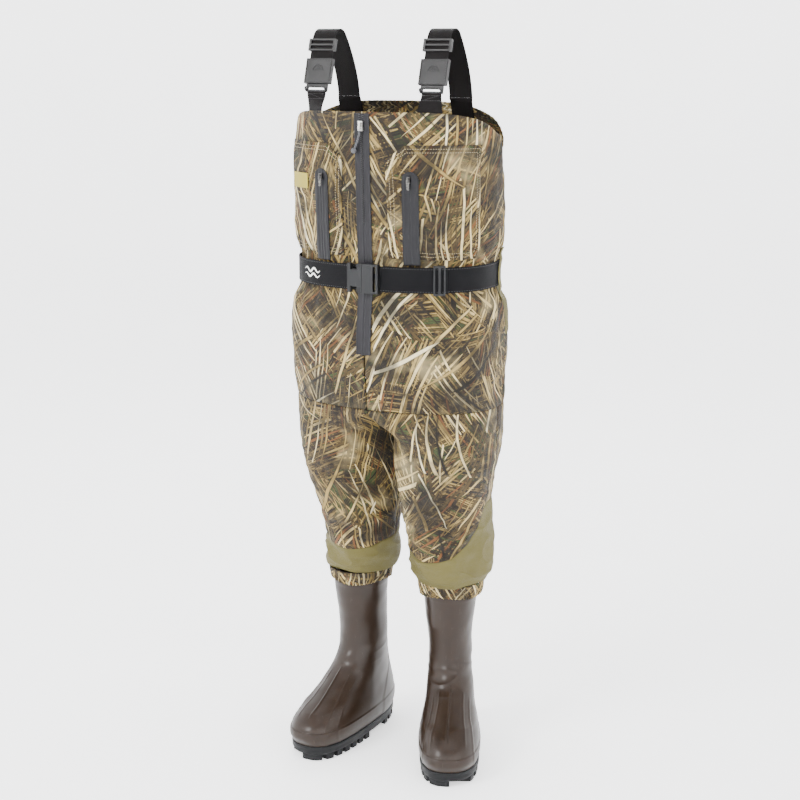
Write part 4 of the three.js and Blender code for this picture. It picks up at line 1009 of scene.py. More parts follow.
def build_elastic_hem():
    """The gathered hem: vertical ruffles of two pitches over a soft rounded band."""
    columns, rows = 560, 16
    span = (SIDE_SEAM + SEAM_DEG, 360 - SIDE_SEAM - SEAM_DEG)
    degrees = even(lambda d: torso(d, rim_z(d)), *span, columns)
    d = np.broadcast_to(degrees, (rows, columns))
    v = np.linspace(0, 1, rows)[:, None]
    z = rim_z(d) - (BACK_HEM - SEAM_HALF) * (1 - v)
    base = torso(d, z)
    reach = run_of(base[0])[None]
    wander = swell(base, 81, 46)
    ruffle = np.sin(reach / 1.55 + 4.2 * wander) + 0.6 * np.sin(reach / 0.83 + 5 * swell(base, 82, 33))
    elastic = 0.75 + 0.25 * np.cos(v * np.pi * 4)
    straps = ease(20, 34, np.abs(np.abs(base[..., 0]) - STRAP_X)) * 0.8 + 0.2
    closed = np.sin(np.pi * np.clip(v * 0.96 + 0.02, 0, 1)) ** 0.3
    height = (0.3 + 1.25 * ruffle * elastic) * straps * closed
    height += 1.2 * np.sin(np.pi * v) - 0.6
    points = base + normal_at(torso, d, z) * height[..., None]
    made = sheet_mesh("Back elastic hem", points, uv_shift=(0.5, 0.2))
    finish_piece(made, CAMO + "hems", replaces=("back_elastic_hem",),
                 thickness=HEM_CLOTH)


def leg_piece(name, node, side, span, low, high, material, columns, rows, wrap=False):
    """A panel of a leg between two edges, drawn in at its seams."""
    cloth, sign = leg_cloth(side), dict(SIDES)[side]
    degrees = np.linspace(*span, columns + 1)[:-1] if wrap else np.linspace(*span, columns)
    d = np.broadcast_to(degrees, (rows, columns))
    v = np.linspace(0, 1, rows)[:, None]
    z = low(d) + (high(d) - low(d)) * v
    up = np.minimum(z - low(d), high(d) - z)
    inward = 0.8 * seam_dip(up)
    if not wrap:
        inward = inward + seam_dip(np.minimum(d - span[0], span[1] - d) * 1.6)
    points = cloth(d, z, inward)
    made = sheet_mesh(name, points, wrap=wrap, flip=sign < 0, uv_shift=(sign * 0.9, 0.3))
    finish_piece(made, material, replaces=(node,), thickness=CLOTH)


def build_leg_panels():
    """Each leg's front and back panel, from the knee's seam to the crotch."""
    top = level(CROTCH_Z - SEAM_HALF)
    knee = lambda d: knee_z(d) + SEAM_HALF
    for side, _ in SIDES:
        leg_piece(f"Leg front {side}", f"{side}_leg_front", side,
                  (SEAM_DEG - 90, 90 - SEAM_DEG), knee, top, CAMO + "legs", 96, 100)
        leg_piece(f"Leg back {side}", f"{side}_leg_back", side,
                  (90 + SEAM_DEG, 270 - SEAM_DEG), knee, top, CAMO + "legs", 96, 90)


def build_shins():
    """The plain shins, each one tube of cloth from the hem band to the knee's seam."""
    for side, _ in SIDES:
        leg_piece(f"Shin {side}", f"{side}_shin", side, (-90, 270), level(SHIN_Z),
                  lambda d: knee_z(d) - SEAM_HALF - 0.3, "Olive nylon, matt", 180, 72,
                  wrap=True)


def build_hem_bands():
    """The gathered hem over each boot: ruffles that grow towards the lower edge."""
    columns, rows = 420, 14
    for side, sign in SIDES:
        base = leg(side)
        d = np.broadcast_to(np.linspace(-90, 270, columns + 1)[:-1], (rows, columns))
        v = np.linspace(0, 1, rows)[:, None]
        dip = 3.0 * np.sin(np.radians(d) * 3 + sign) * (1 - v)
        z = HEM_Z + dip + (SHIN_Z - 0.3 - HEM_Z - dip) * v
        points = base(d, z)
        wander = swell(points, 90 + sign, 40)
        ruffle = np.sin(np.radians(d) * 38 + 5 * wander) + 0.5 * np.sin(np.radians(d) * 67 + 4 * wander)
        height = 0.8 + 1.1 * ruffle * (1 - 0.75 * v) - 1.2 * np.exp(-(1 - v) * 8)
        points = points + sign * normal_at(base, d, z, (1.5, 1.5)) * height[..., None]
        made = sheet_mesh(f"Hem band {side}", points, wrap=True, flip=sign < 0, uv_shift=(0.2, 0.6))
        finish_piece(made, CAMO + "hems", replaces=(f"{side}_hem_band",),
                     thickness=BAND_CLOTH)


def on_chest(x, z, off):
    """Points of the cloth by their x, and its normals there."""
    x, z = np.broadcast_arrays(np.asarray(x, float), np.asarray(z, float))
    degrees = degrees_at(x, z)
    return torso_cloth(degrees, z, off), normal_at(torso, degrees, z)


def strip(name, x_edges, z_low, z_high, off, profile, columns, rows):
    """A tape on the chest: profile gives its height from its share across and its z."""
    u = np.linspace(-1, 1, columns)[None]
    v = np.linspace(0, 1, rows)[:, None]
    x = sum(x_edges) / 2 + (x_edges[1] - x_edges[0]) / 2 * u
    z = z_low + (z_high(x) - z_low) * v
    x = np.broadcast_to(x, z.shape)
    points, normals = on_chest(x, z, off)
    height = profile(np.broadcast_to(u, z.shape), z)
    return sheet_mesh(name, points + normals * height[..., None])


def build_front_zip():
    """Two coated tape halves with rolled edges that meet in a fine channel, and a
    coil of teeth: closed below the slider, parting above it."""
    def profile(u, z):
        """Welts at the edges, a channel in the middle and a slow waver."""
        gentle = 0.35 * np.sin(z / 37.0) + 0.25 * np.sin(z / 13.0 + 1)
        welt = 0.5 * bell(np.abs(u) - 0.88, 0.08)
        slit = -0.75 * bell(u, 0.06) + 0.35 * bell(np.abs(u) - 0.2, 0.1)
        return welt + slit + 0.2 * gentle

    made = strip("Front zip tape", (-ZIP_HALF, ZIP_HALF), ZIP_Z[0], level(ZIP_Z[1]),
                 SEW + TAPE, profile, 41, 300)
    finish_piece(made, "Coated zip tape, satin", replaces=("front_zip_tape",),
                 thickness=TAPE)
    tooth_pitch, half_gap, parted = 1.7, 0.85, 2.6
    z = np.arange(*TEETH_Z, tooth_pitch)
    side = np.where(np.arange(len(z)) % 2, 1, -1)
    x = side * (half_gap + parted * ease(1252, 1276, z))
    points, normals = on_chest(x, z, SEW + TAPE + 0.05)
    teeth = scattered("Front zip teeth", points, np.tile([1.0, 0, 0], (len(z), 1)), normals,
                      *block_template(3.0, 1.25, 1.0))
    finish_piece(teeth, "Black nylon coil, satin")


def build_pocket_panels():
    """Each pocket is a flat patch with a clipped upper inner corner, its edges
    turned under and stitched twice."""
    lines = []
    for side, sign in SIDES:
        columns, rows = 70, 64
        edges = np.array([1, 7]) / 10 * (SIDE_SEAM - 2 * SEAM_DEG) + SEAM_DEG
        u = np.linspace(0, 1, columns)[None]
        v = np.linspace(0, 1, rows)[:, None]
        top = POCKET_Z[1] - 26 * np.clip(1 - u / 0.2, 0, 1)
        d = sign * (edges[0] + (edges[1] - edges[0]) * u)
        z = POCKET_Z[0] + (top - POCKET_Z[0]) * v
        d, z = np.broadcast_arrays(d, z)
        border = np.minimum(np.minimum(u, 1 - u) * 26, np.minimum(v, 1 - v) * 24)
        height = SEW + PATCH - 0.7 * np.exp(-border / 0.35) - 0.45 * bell(border - 1.1, 0.3)
        points = torso_cloth(d, z, height)
        made = sheet_mesh(f"Pocket panel {side}", points, flip=sign < 0, uv_shift=(0.3 * sign, 1.1))
        finish_piece(made, CAMO + "pockets", replaces=(f"{side}_pocket_panel",),
                     thickness=PATCH)
        normal = normal_at(torso, d, z)
        for inset in (2, 4):
            inner = np.s_[inset:-inset, inset:-inset]
            p, n = points[inner], normal[inner]
            for cut in (np.s_[0, :], np.s_[-1, :], np.s_[:, 0], np.s_[:, -1]):
                lines.append((p[cut] + n[cut] * 0.25, n[cut]))
    stitches("Pocket stitching", lines, "Tan sewing thread")


def build_pocket_zips():
    """A welded strip with a raised frame, a rounded top and a closed coil slit."""
    def profile(u, z):
        """A broad welt each side of a slit with raised lips."""
        across = np.abs(u)
        return 0.55 * bell(across - 0.7, 0.16) - 0.6 * bell(u, 0.07) + 0.25 * bell(across - 0.18, 0.08)

    half, top = ZIP_HALF, POCKET_ZIP_Z[1]
    for side, sign in SIDES:
        centre = sign * POCKET_ZIP_X
        arch = lambda x: top - half + np.sqrt(np.maximum(half**2 - (x - centre) ** 2, 0.5))
        made = strip(f"Pocket zip {side}", (centre - half, centre + half), POCKET_ZIP_Z[0], arch,
                     2 * SEW + PATCH + TAPE, profile, 41, 120)
        finish_piece(made, "Black coated pocket zip, satin", replaces=(f"{side}_pocket_zip",),
                     thickness=TAPE)


def build_label():
    """A small plain moulded patch with a raised rim."""
    low, high = LABEL_Z

    def rim(u, z):
        """A ridge just inside the patch's edges."""
        v = np.abs((z - (low + high) / 2) / ((high - low) / 2))
        return 0.5 * bell(np.maximum(np.abs(u), v) - 0.9, 0.09)

    made = strip("Label", LABEL_X, low, level(high), 2 * SEW + 2 * PATCH, rim, 60, 40)
    finish_piece(made, "Yellow moulded rubber, matt", replaces=("label",),
                 thickness=PATCH)


def joint_frame(name):
    """A hinge's place in design millimetres, and axes that lean with the chest."""
    place = np.array(JOINTS[name]["pos_m"]) * 1000 - SHIFT
    c, s = math.cos(CHEST_LEAN), math.sin(CHEST_LEAN)
    return place, np.array([[1, 0, 0], [0, c, s], [0, -s, c]])


def build_zip_hardware():
    """Sliders and pulls: softened copies of the CAD, and a braided cord and knob."""
    for node, name, body, material in (
        ("front_zip_slider", "Front zip slider", "front_zip_runner", "Nickel plated zinc"),
        ("left_pocket_zip_slider", "Pocket slider left", "left_pocket_runner", "Black plated zinc"),
        ("right_pocket_zip_slider", "Pocket slider right", "right_pocket_runner", "Black plated zinc"),
        ("left_pocket_zip_pull", "Pocket pull left", "left_pocket_tab", "Black plated zinc"),
        ("right_pocket_zip_pull", "Pocket pull right", "right_pocket_tab", "Black plated zinc"),
    ):
        finish_piece(cad_copy(node, name), material, body, (node,), bevel=0.35)
    place, axes = joint_frame("front_zip_pull")
    wide, drop = LINK_HALF, LINK_DROP
    corners = np.array([(-wide, 0, 0), (-wide, 0, -drop), (wide, 0, -drop), (wide, 0, 0), (-wide, 0, 0)])
    t = np.linspace(0, 1, 49)
    ring = np.stack([np.interp(t, np.linspace(0, 1, 5), corners[:, k]) for k in range(3)], 1)[:-1]
    link = round_tube("Front zip link", place + ring @ axes, LINK_WIRE, 12, loop=True)
    finish_piece(link, "Nickel plated zinc", "front_zip_tab", ("front_zip_pull",))
    s = np.linspace(0, 1, 60)
    path = np.stack([CORD_BEND * s**1.35, -0.8 + 2.4 * s, -drop - 0.2 - CORD_LENGTH * s], 1)
    cord = round_tube("Front zip cord", place + path @ axes, CORD_RADIUS, 16)
    finish_piece(cord, "Grey braided cord", "front_zip_tab")
    angle, rise = np.meshgrid(np.linspace(0, 2 * np.pi, 32, endpoint=False), np.linspace(-1.45, 1.45, 19))
    bulge = KNOB_RADIUS * (1 + 0.04 * np.cos(rise * 10)) * np.cos(rise)
    ball = xyz(bulge * np.cos(angle), bulge * np.sin(angle), KNOB_HALF * np.sin(rise))
    knob = sheet_mesh("Front zip knob", place + (ball + path[-1]) @ axes, wrap=True, caps="low high")
    finish_piece(facing_out(knob), "Grey moulded rubber knob", "front_zip_tab")


def round_tube(name, path, radius, sides, loop=False):
    """A tube of round section along a path, with a UV in metres round and along."""
    ahead = np.roll(path, -1, axis=0) - np.roll(path, 1, axis=0)
    if not loop:
        ahead[0], ahead[-1] = path[1] - path[0], path[-1] - path[-2]
    ahead /= np.linalg.norm(ahead, axis=1, keepdims=True)
    side = np.cross(ahead, (0.05, 1.0, 0.02))
    side /= np.linalg.norm(side, axis=1, keepdims=True)
    up = np.cross(side, ahead)
    turn = np.linspace(0, 2 * np.pi, sides, endpoint=False)
    rings = path[:, None] + radius * (
        side[:, None] * np.cos(turn)[None, :, None] + up[:, None] * np.sin(turn)[None, :, None]
    )
    if loop:
        quads, _ = grid(len(path) + 1, sides, True)
        quads = quads % (len(path) * sides)
        corners = rings.reshape(-1, 3)[quads.ravel()][:, :2] / 1000
        return facing_out(mesh_of(name, rings, [quads], corners))
    return facing_out(sheet_mesh(name, rings, wrap=True, caps="low high"))


def boot_relief(v, degrees, side):
    """Height of the moulded detail on a boot: a foxing band round the sole, a heel
    counter, ridges down the vamp, a top band, and creases at the ankle."""
    sign = dict(SIDES)[side]
    p = boot_point(v, degrees, 0, sign)
    x, y = p[..., 0], p[..., 1]
    front = np.cos(np.radians(degrees))
    seed = 101 + sign
    foxing = 1.5 * ease(0.155, 0.14, v)
    welt = 0.7 * bell(v - 0.148, 0.006)
    round_back = np.abs(degrees % 360 - 180)
    counter_edge = 28 + 44 * ease(0.55, 0.12, v)
    counter = 1.1 * ease(counter_edge, counter_edge - 2.5, round_back) * ease(0.6, 0.58, v)
    ridges = 0
    for offset in (-34, -22, 0, 26, 38):
        line = offset * (1 + 0.4 * ease(-90, -200, y)) - sign * 10 * ease(-60, -210, y)
        ridges = ridges + (1.9 if offset == 0 else 1.0) * bell(x - line, 1.4)
    ridges = ridges * ease(-76, -92, y) * ease(-203, -190, y) * (front > 0)
    rib = 1.2 * bell(round_back, 2.2) * ease(0.2, 0.3, v) * ease(0.97, 0.95, v)
    collar = 1.1 * ease(0.955, 0.965, v) + 0.5 * bell(v - 0.94, 0.004)
    bends = 0.5 - np.abs(swell(p, seed, 46, (0.5, 0.5, 1.7))) ** 0.8
    ankle = bell(v - 0.62, 0.09) * (0.35 + 0.65 * np.clip(front, 0, 1))
    flex = bell(v - 0.34, 0.1) * np.clip(front, 0, 1)
    creases = 2.6 * bends * ankle + 1.1 * bends * flex
    dents = 1.5 * swell(p, seed + 1, 120) * ease(0.5, 0.7, v) + 0.35 * swell(p, seed + 2, 40)
    return foxing + welt + counter + ridges + rib + collar + creases + dents * ease(0.15, 0.3, v)


def build_boots():
    """Each boot's upper: one surface with its moulded relief, closed under the foot."""
    columns, rows = 210, 230
    for side, sign in SIDES:
        d = np.broadcast_to(np.linspace(0, 360, columns + 1)[:-1], (rows, columns))
        v = np.broadcast_to(np.linspace(0, 1, rows)[:, None], d.shape)
        inset = -boot_relief(v, d, side)
        points = boot_point(v, d, inset, sign)
        points[..., 2] = np.maximum(points[..., 2], SOLE_TOP_Z)
        made = sheet_mesh(f"Boot {side}", placed(points, side), wrap=True, caps="low")
        finish_piece(made, "Brown boot rubber, glossy", replaces=(f"{side}_boot_upper",),
                     thickness=BOOT_WALL)


def prism(outline, low, high, start):
    """Vertices, side faces, bottom and top of an upright prism over a closed
    outline, with its vertices numbered from start."""
    n = len(outline)
    i = np.arange(n)
    k = (i + 1) % n
    vertices = np.vstack([np.column_stack([outline, np.full(n, z)]) for z in (low, high)])
    sides = np.stack([i, k, k + n, i + n], 1) + start
    return vertices, sides, (i[::-1] + start)[None], (i + n + start)[None]


def build_outsoles():
    """A plate with a waisted edge over blocks of tread that follow its outline,
    with an arch left free between the forefoot and the heel."""
    for side, sign in SIDES:
        d = np.linspace(0, 360, 181)[:-1]
        profile = ((LUG - 0.2, 0.6), (LUG + 2, 1.6), (LUG + 6, 3.2), (LUG + 11, 2.6),
                   (LUG + 12.2, 3.4), (SOLE_TOP_Z - 2, 3.6), (SOLE_TOP_Z - 0.3, 3.0))
        rings = []
        for z, grow in profile:
            ring = boot_point(np.zeros_like(d), d, -grow, sign)
            ring[:, 2] = z
            rings.append(ring)
        plate = sheet_mesh(f"Outsole {side}", placed(np.array(rings), side), wrap=True, caps="low high")
        finish_piece(facing_out(plate), "Black outsole rubber, matt",
                     replaces=(f"{side}_outsole",))
        edge = boot_point(np.zeros_like(d), d, -1.2, sign)
        right = edge[: len(d) // 2 + 1]
        left = np.vstack([edge[len(d) // 2 :], edge[:1]])[::-1]
        lugs = [(-214 + 23.5 * row, 15.5) for row in range(7)]  # y and length
        lugs += [(9 + 25 * row, 16.5) for row in range(3)]
        vertices, quads, flats, start = [], [], [], 0
        for y0, run in lugs:
            y = np.linspace(y0, min(y0 + run, 79), 6)
            outer = [np.interp(y, half[:, 1], half[:, 0]) for half in (left, right)]
            for out, way in zip(outer, (-1, 1)):
                inner = way * np.linspace(3.5, 4.7, 6)
                if np.any(way * (out - inner) < 6):
                    continue
                outline = np.vstack([np.column_stack([inner, y]), np.column_stack([out, y])[::-1]])
                if way < 0:
                    outline = outline[::-1]
                v, s, bottom, top = prism(outline, 0.0, LUG + 1.5, start)
                vertices.append(v)
                quads.append(s)
                flats += [bottom, top]
                start += len(v)
        tread = mesh_of(f"Tread {side}", placed(np.vstack(vertices), side),
                        [np.vstack(quads), np.vstack(flats)])
        finish_piece(facing_out(tread), "Black outsole rubber, matt", bevel=1.1)


def strap_path():
    """The strap's centre line from its buckle over the shoulder to the back seam,
    as y and z: a straight, an arc, and a cubic that comes down to the seam."""
    c, s = math.cos(BUCKLE_LEAN), math.sin(BUCKLE_LEAN)
    base = np.array([BUCKLE_Y, BUCKLE_Z])
    up = np.array([s, c])
    # Straight out of the socket, round the shoulder's bend, then down to the seam.
    radius, end = 24, math.radians(-50)
    start, bend = base + up * 34.3, base + up * 72
    centre = bend + (radius * c, -radius * s)
    straight = start + (bend - start) * np.linspace(0, 1, 30)[:-1, None]
    turn = np.linspace(math.pi - BUCKLE_LEAN, end + math.pi / 2, 50)[:, None]
    arc = centre + radius * np.hstack([np.cos(turn), np.sin(turn)])
    heading = np.array([math.cos(end), math.sin(end)])
    seam = np.array(STRAP_SEAM[1:])
    knots = np.array([arc[-1], arc[-1] + 34 * heading, seam + (-3, 38), seam])
    t = np.linspace(0, 1, 90)[1:, None]
    curve = (
        (1 - t) ** 3 * knots[0] + 3 * t * (1 - t) ** 2 * knots[1]
        + 3 * t**2 * (1 - t) * knots[2] + t**3 * knots[3]
    )
    return np.vstack([straight, arc, curve])


def build_straps():
    """The moving straps: webbing on the strap path, bar tacks, a rolled fold at the seam."""
    flat = strap_path()
    ahead = headings(flat)
    for side, sign in SIDES:
        x = sign * STRAP_X
        path = np.column_stack([np.full(len(flat), x), flat])
        out = np.column_stack([np.zeros(len(flat)), -ahead[:, 1], ahead[:, 0]])
        across = np.tile([1.0, 0, 0], (len(flat), 1))
        made = tube_mesh(f"Strap {side}", path, across, out, STRAP_WEB / 2, WEB)
        finish_piece(facing_out(made), "Black polypropylene webbing", f"{side}_shoulder",
                     (f"{side}_strap",))
        seam = x + np.linspace(-STRAP_WEB / 2, STRAP_WEB / 2, 24)
        fold = round_tube(f"Strap fold {side}", xyz(seam, STRAP_SEAM[1], STRAP_SEAM[2]), 1.55, 16)
        finish_piece(fold, "Black polypropylene webbing", f"{side}_shoulder")
        # A box of thread at the seam end: two lines along the strap, two across it.
        half, clear, run = 19, WEB / 2 + 0.05, np.s_[-18:-5]
        lines = [(path[run] + across[run] * edge + out[run] * clear, out[run]) for edge in (-half, half)]
        for at in (-18, -6):
            row = path[at] + np.linspace(-half, half, 30)[:, None] * (1, 0, 0) + out[at] * clear
            lines.append((row, np.tile(out[at], (30, 1))))
        stitches(f"Strap stitching {side}", lines, "Black bonded thread", f"{side}_shoulder", 3.4, 2.6)


def rising(x, width, z_low, z_high, rim, top_y, sense):
    """Webbing from inside a hem up to its hardware: it follows the shell below the
    rim and moves to its end's depth above it. Returns a grid of points."""
    u = np.linspace(x - width / 2, x + width / 2, 25)[None]
    z = np.linspace(z_low, z_high, 60)[:, None]
    u, z = np.broadcast_arrays(u, z)
    held = np.minimum(z, rim)
    size, front, back, n = along(TORSO, held)
    inside = CLOTH + SEW + WEB / 2
    depth = (front if sense < 0 else back) - inside
    share = np.abs(u / (size - inside)) ** n
    y = sense * depth * (1 - share) ** (1 / n)
    rise = ease(rim, z_high, z)
    return xyz(u, y + (top_y - y) * rise, z)


def build_sewn_webbing():
    """The lower straps inside the bib's front and the anchors inside its back."""
    loop_drop = 27.3  # from a buckle's origin down to the loop the lower strap ends at
    top_y = BUCKLE_Y - loop_drop * math.sin(BUCKLE_LEAN)
    top_z = BUCKLE_Z - loop_drop * math.cos(BUCKLE_LEAN)
    for side, sign in SIDES:
        lower = rising(sign * STRAP_X, LOWER_WEB, 1238, top_z, 1284, top_y, -1)
        anchor = rising(sign * STRAP_X, STRAP_WEB, 1258, 1304.4, 1298, STRAP_SEAM[1], 1)
        for name, middle, out in (("Lower strap", lower, -1), ("Strap anchor", anchor, 1)):
            shell = middle + np.array([0, out * WEB / 2, 0])
            made = sheet_mesh(f"{name} {side}", shell, flip=out > 0)
            node = f"{side}_{name.lower().replace(' ', '_')}"
            finish_piece(made, "Black polypropylene webbing", replaces=(node,),
                         thickness=WEB)
        p = lower - (0, WEB / 2 + 0.2, 0)
        normal = np.tile([0.0, -1, 0], (60, 1))
        z = p[:, 0, 2]
        low, high = np.searchsorted(z, (top_z - 13, top_z - 3))
        box = [(p[high, 1:-1], normal[:23]), (p[low, 1:-1], normal[:23])]
        cross = np.linspace(p[low, 2], p[high, -3], 20), np.linspace(p[low, -3], p[high, 2], 20)
        box += [(line, normal[:20]) for line in cross]
        stitches(f"Lower strap stitching {side}", box, "Black bonded thread", pitch=3.2, length=2.5)


def belt_ribbon(name, node, start, end, off, count, body="root"):
    """A length of belt round the torso between two angles, off millimetres outside
    of the belt's own place. Returns its middle line and its outward directions."""
    d = even(lambda t: torso(t, np.full_like(t, float(BELT_Z)), BELT_OFF + off), start, end, count)
    z = np.full_like(d, float(BELT_Z))
    path = torso(d, z, BELT_OFF + off + WEB / 2)
    ahead = headings(path)
    out = np.column_stack([ahead[:, 1], -ahead[:, 0], np.zeros(len(path))])
    across = np.tile([0, 0, 1.0], (len(path), 1))
    made = tube_mesh(name, path, across, out, BELT_WEB / 2, WEB)
    finish_piece(facing_out(made), "Black belt webbing", body, (node,))
    return path, out


def build_belt():
    """The belt, its front layer, and the stitching along their edges."""
    at = lambda x, off: float(degrees_at(x, float(BELT_Z), BELT_OFF + off))
    path, out = belt_ribbon("Belt", "belt", at(39, 0), 360 + at(-8, 0), 0, 420)
    off = 2.9
    layer, layer_out = belt_ribbon("Belt front layer", "belt_front_layer",
                                   at(33.3, off), at(152, off), off, 90, "belt_tongue")
    seam, clear = BELT_WEB / 2 - 3, WEB / 2 + 0.05
    for name, line, normals, body in (
        ("Belt edge stitching", path, out, "root"),
        ("Belt layer stitching", layer, layer_out, "belt_tongue"),
    ):
        lines = [(line + normals * clear + (0, 0, z), normals) for z in (-seam, seam)]
        stitches(name, lines, "Black bonded thread", body, 5, 3.4)


def build_belt_mark():
    """A plain embroidered wave on the belt: two raised satin strokes."""
    start, end = -142, -100
    x = np.linspace(start, end, 90)
    degrees = degrees_at(x, float(BELT_Z), BELT_OFF + WEB)
    normals = normal_at(torso, degrees, np.full_like(degrees, float(BELT_Z)))
    for index, (lift, swing) in enumerate(((4.5, 3.6), (-5.5, 3.0))):
        turns = (x - start) / (end - start) * 4 * np.pi
        z = BELT_Z + lift + swing * np.sin(turns + index * 0.5)
        base = torso(degrees, np.full_like(degrees, float(BELT_Z)), BELT_OFF + WEB + 0.1)
        base[:, 2] = z
        ahead = headings(base)
        across = np.cross(normals, ahead)
        taper = 0.35 + 1.5 * np.sin(np.linspace(0, np.pi, 90)) ** 0.7
        turn = np.linspace(0, np.pi, 9)
        arch = across[:, None] * (np.cos(turn)[None] * taper[:, None])[..., None]
        arch = arch + normals[:, None] * (np.sin(turn)[None] * 0.55)[..., None]
        made = sheet_mesh(f"Belt mark {index + 1}", base[:, None] + arch)
        finish_piece(made, "White embroidery thread", thickness=0.3)


# Hardware: CAD node without its side, piece, body, and how far its edges are softened.
STRAP_HARDWARE = (
    ("strap_tongue", "Strap tongue", "root", 0.6),
    ("strap_socket", "Strap socket", "{}_shoulder", 0.8),
    ("strap_button", "Strap button", "{}_release", 0.5),
    ("strap_glide", "Strap glide", "{}_adjuster", 0.8),
)
BELT_HARDWARE = (
    ("belt_socket", "Belt socket", "root", 1.3),
    ("belt_frame", "Belt frame", "belt_tongue", 0.9),
    ("belt_latch_upper", "Belt latch upper", "belt_upper_arm", 0.5),
    ("belt_latch_lower", "Belt latch lower", "belt_lower_arm", 0.5),
    ("belt_adjuster", "Belt adjuster", "belt_tongue", 0.6),
)


def build_strap_hardware():
    """Buckles and glides: softened copies of the CAD, grip ribs on the buttons, ribs
    and rails on the sockets, and the tongue's loop for the lower strap."""
    face = -5.0  # y of the buckle's outer face in its own frame
    c, s = math.cos(BUCKLE_LEAN), math.sin(BUCKLE_LEAN)
    axes = np.array([[1, 0, 0], [0, c, -s], [0, s, c]])
    # Ribs: name, body, x and z of each, the axis they run along, size, soft edge.
    ribs = (
        ("Button ribs", "{}_release", [(0, 13.6 + 1.9 * i) for i in range(4)], 0, (11, 0.9, 0.45), 0.15),
        ("Socket ribs", "{}_shoulder", [(0, -10.2), (0, 31.5)], 0, (50, 2.2, 0.6), 0.2),
        ("Socket rails", "{}_shoulder", [(-25, 10.5), (25, 10.5)], 2, (42, 2.6, 0.9), 0.25),
    )
    # The loop's bends in the buckle's frame.
    bends = ((-20, -3.4, -26.5), (-20.6, -7.6, -22.5), (-17, -9.4, -20.6), (0, -9.8, -20.2),
             (17, -9.4, -20.6), (20.6, -7.6, -22.5), (20, -3.4, -26.5))
    for side, sign in SIDES:
        for node, name, body, edge in STRAP_HARDWARE:
            finish_piece(cad_copy(f"{side}_{node}", f"{name} {side}"), STRAP_PLASTIC,
                         body.format(side), (f"{side}_{node}",), bevel=edge)
        origin = np.array([sign * STRAP_X, BUCKLE_Y, BUCKLE_Z])
        for name, body, places, way, size, edge in ribs:
            local = np.array([(x, face, z) for x, z in places])
            count = (len(places), 1)
            made = scattered(f"{name} {side}", origin + local @ axes, np.tile(axes[way], count),
                             np.tile(-axes[1], count), *block_template(*size))
            finish_piece(made, STRAP_PLASTIC, body.format(side), bevel=edge)
        t = np.linspace(0, len(bends) - 1, 73)
        path = np.stack(along([(i, *bend) for i, bend in enumerate(bends)], t), 1)
        loop = round_tube(f"Tongue loop {side}", origin + path @ axes, 1.5, 14)
        finish_piece(loop, STRAP_PLASTIC)


def build_belt_hardware():
    """The belt's buckle and adjuster: softened copies of the CAD with grip ribs."""
    for node, name, body, edge in BELT_HARDWARE:
        finish_piece(cad_copy(node, name), BELT_PLASTIC, body, (node,), bevel=edge)
    low = np.array(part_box("belt_socket")[0]) * 1000 - SHIFT
    first, pitch, up = 21.5, 2.2, 20.5  # the ribs' places on the socket's face
    places = np.array([
        (low[0] + first + pitch * i, low[1], BELT_Z + z) for z in (-up, up) for i in range(3)
    ])
    count = len(places)
    ribs = scattered("Belt socket ribs", places, np.tile([0.0, 0, 1], (count, 1)),
                     np.tile([0.0, -1, 0], (count, 1)), *block_template(8, 1.0, 0.45))
    finish_piece(ribs, BELT_PLASTIC, bevel=0.15)


def build_belt_loops():
    """Four olive loops: sewn to the shell at both ends and standing off the belt."""
    lines = []
    half_turn, half_height = 3, 51
    for name, degrees in BELT_LOOPS:
        d, z = np.meshgrid(np.linspace(degrees - half_turn, degrees + half_turn, 17),
                           np.linspace(BELT_Z - half_height, BELT_Z + half_height, 80))
        over = ease(0, 15, 42 - np.abs(z - BELT_Z))
        height = 1.5 + PATCH + (BELT_OFF + WEB + 0.6 - 1.5) * over
        base = torso(d, z)
        folds = torso_folds(d, z, base) * (1 - over)
        normal = normal_at(torso, d, z)
        points = base + normal * (height + np.maximum(folds, 0))[..., None]
        made = sheet_mesh(f"Belt loop {name.replace('_', ' ')}", points)
        finish_piece(made, "Olive nylon, matt", replaces=(f"belt_loop_{name}",),
                     thickness=PATCH)
        for row in (2, 5, -6, -3):
            lines.append((points[row, 2:-2] + normal[row, 2:-2] * 0.1, normal[row, 2:-2]))
    stitches("Belt loop stitching", lines, "Tan sewing thread", pitch=3, length=2.3)


def dress_linings():
    """The liners and insoles keep their CAD shape and take felt."""
    for side, _ in SIDES:
        for part, material in (("boot_liner", "Grey brushed felt"), ("insole", "Dark felt insole")):
            mesh = frame["nodes"][f"{side}_{part}"].data
            mesh.materials.clear()
            mesh.materials.append(bpy.data.materials[material])


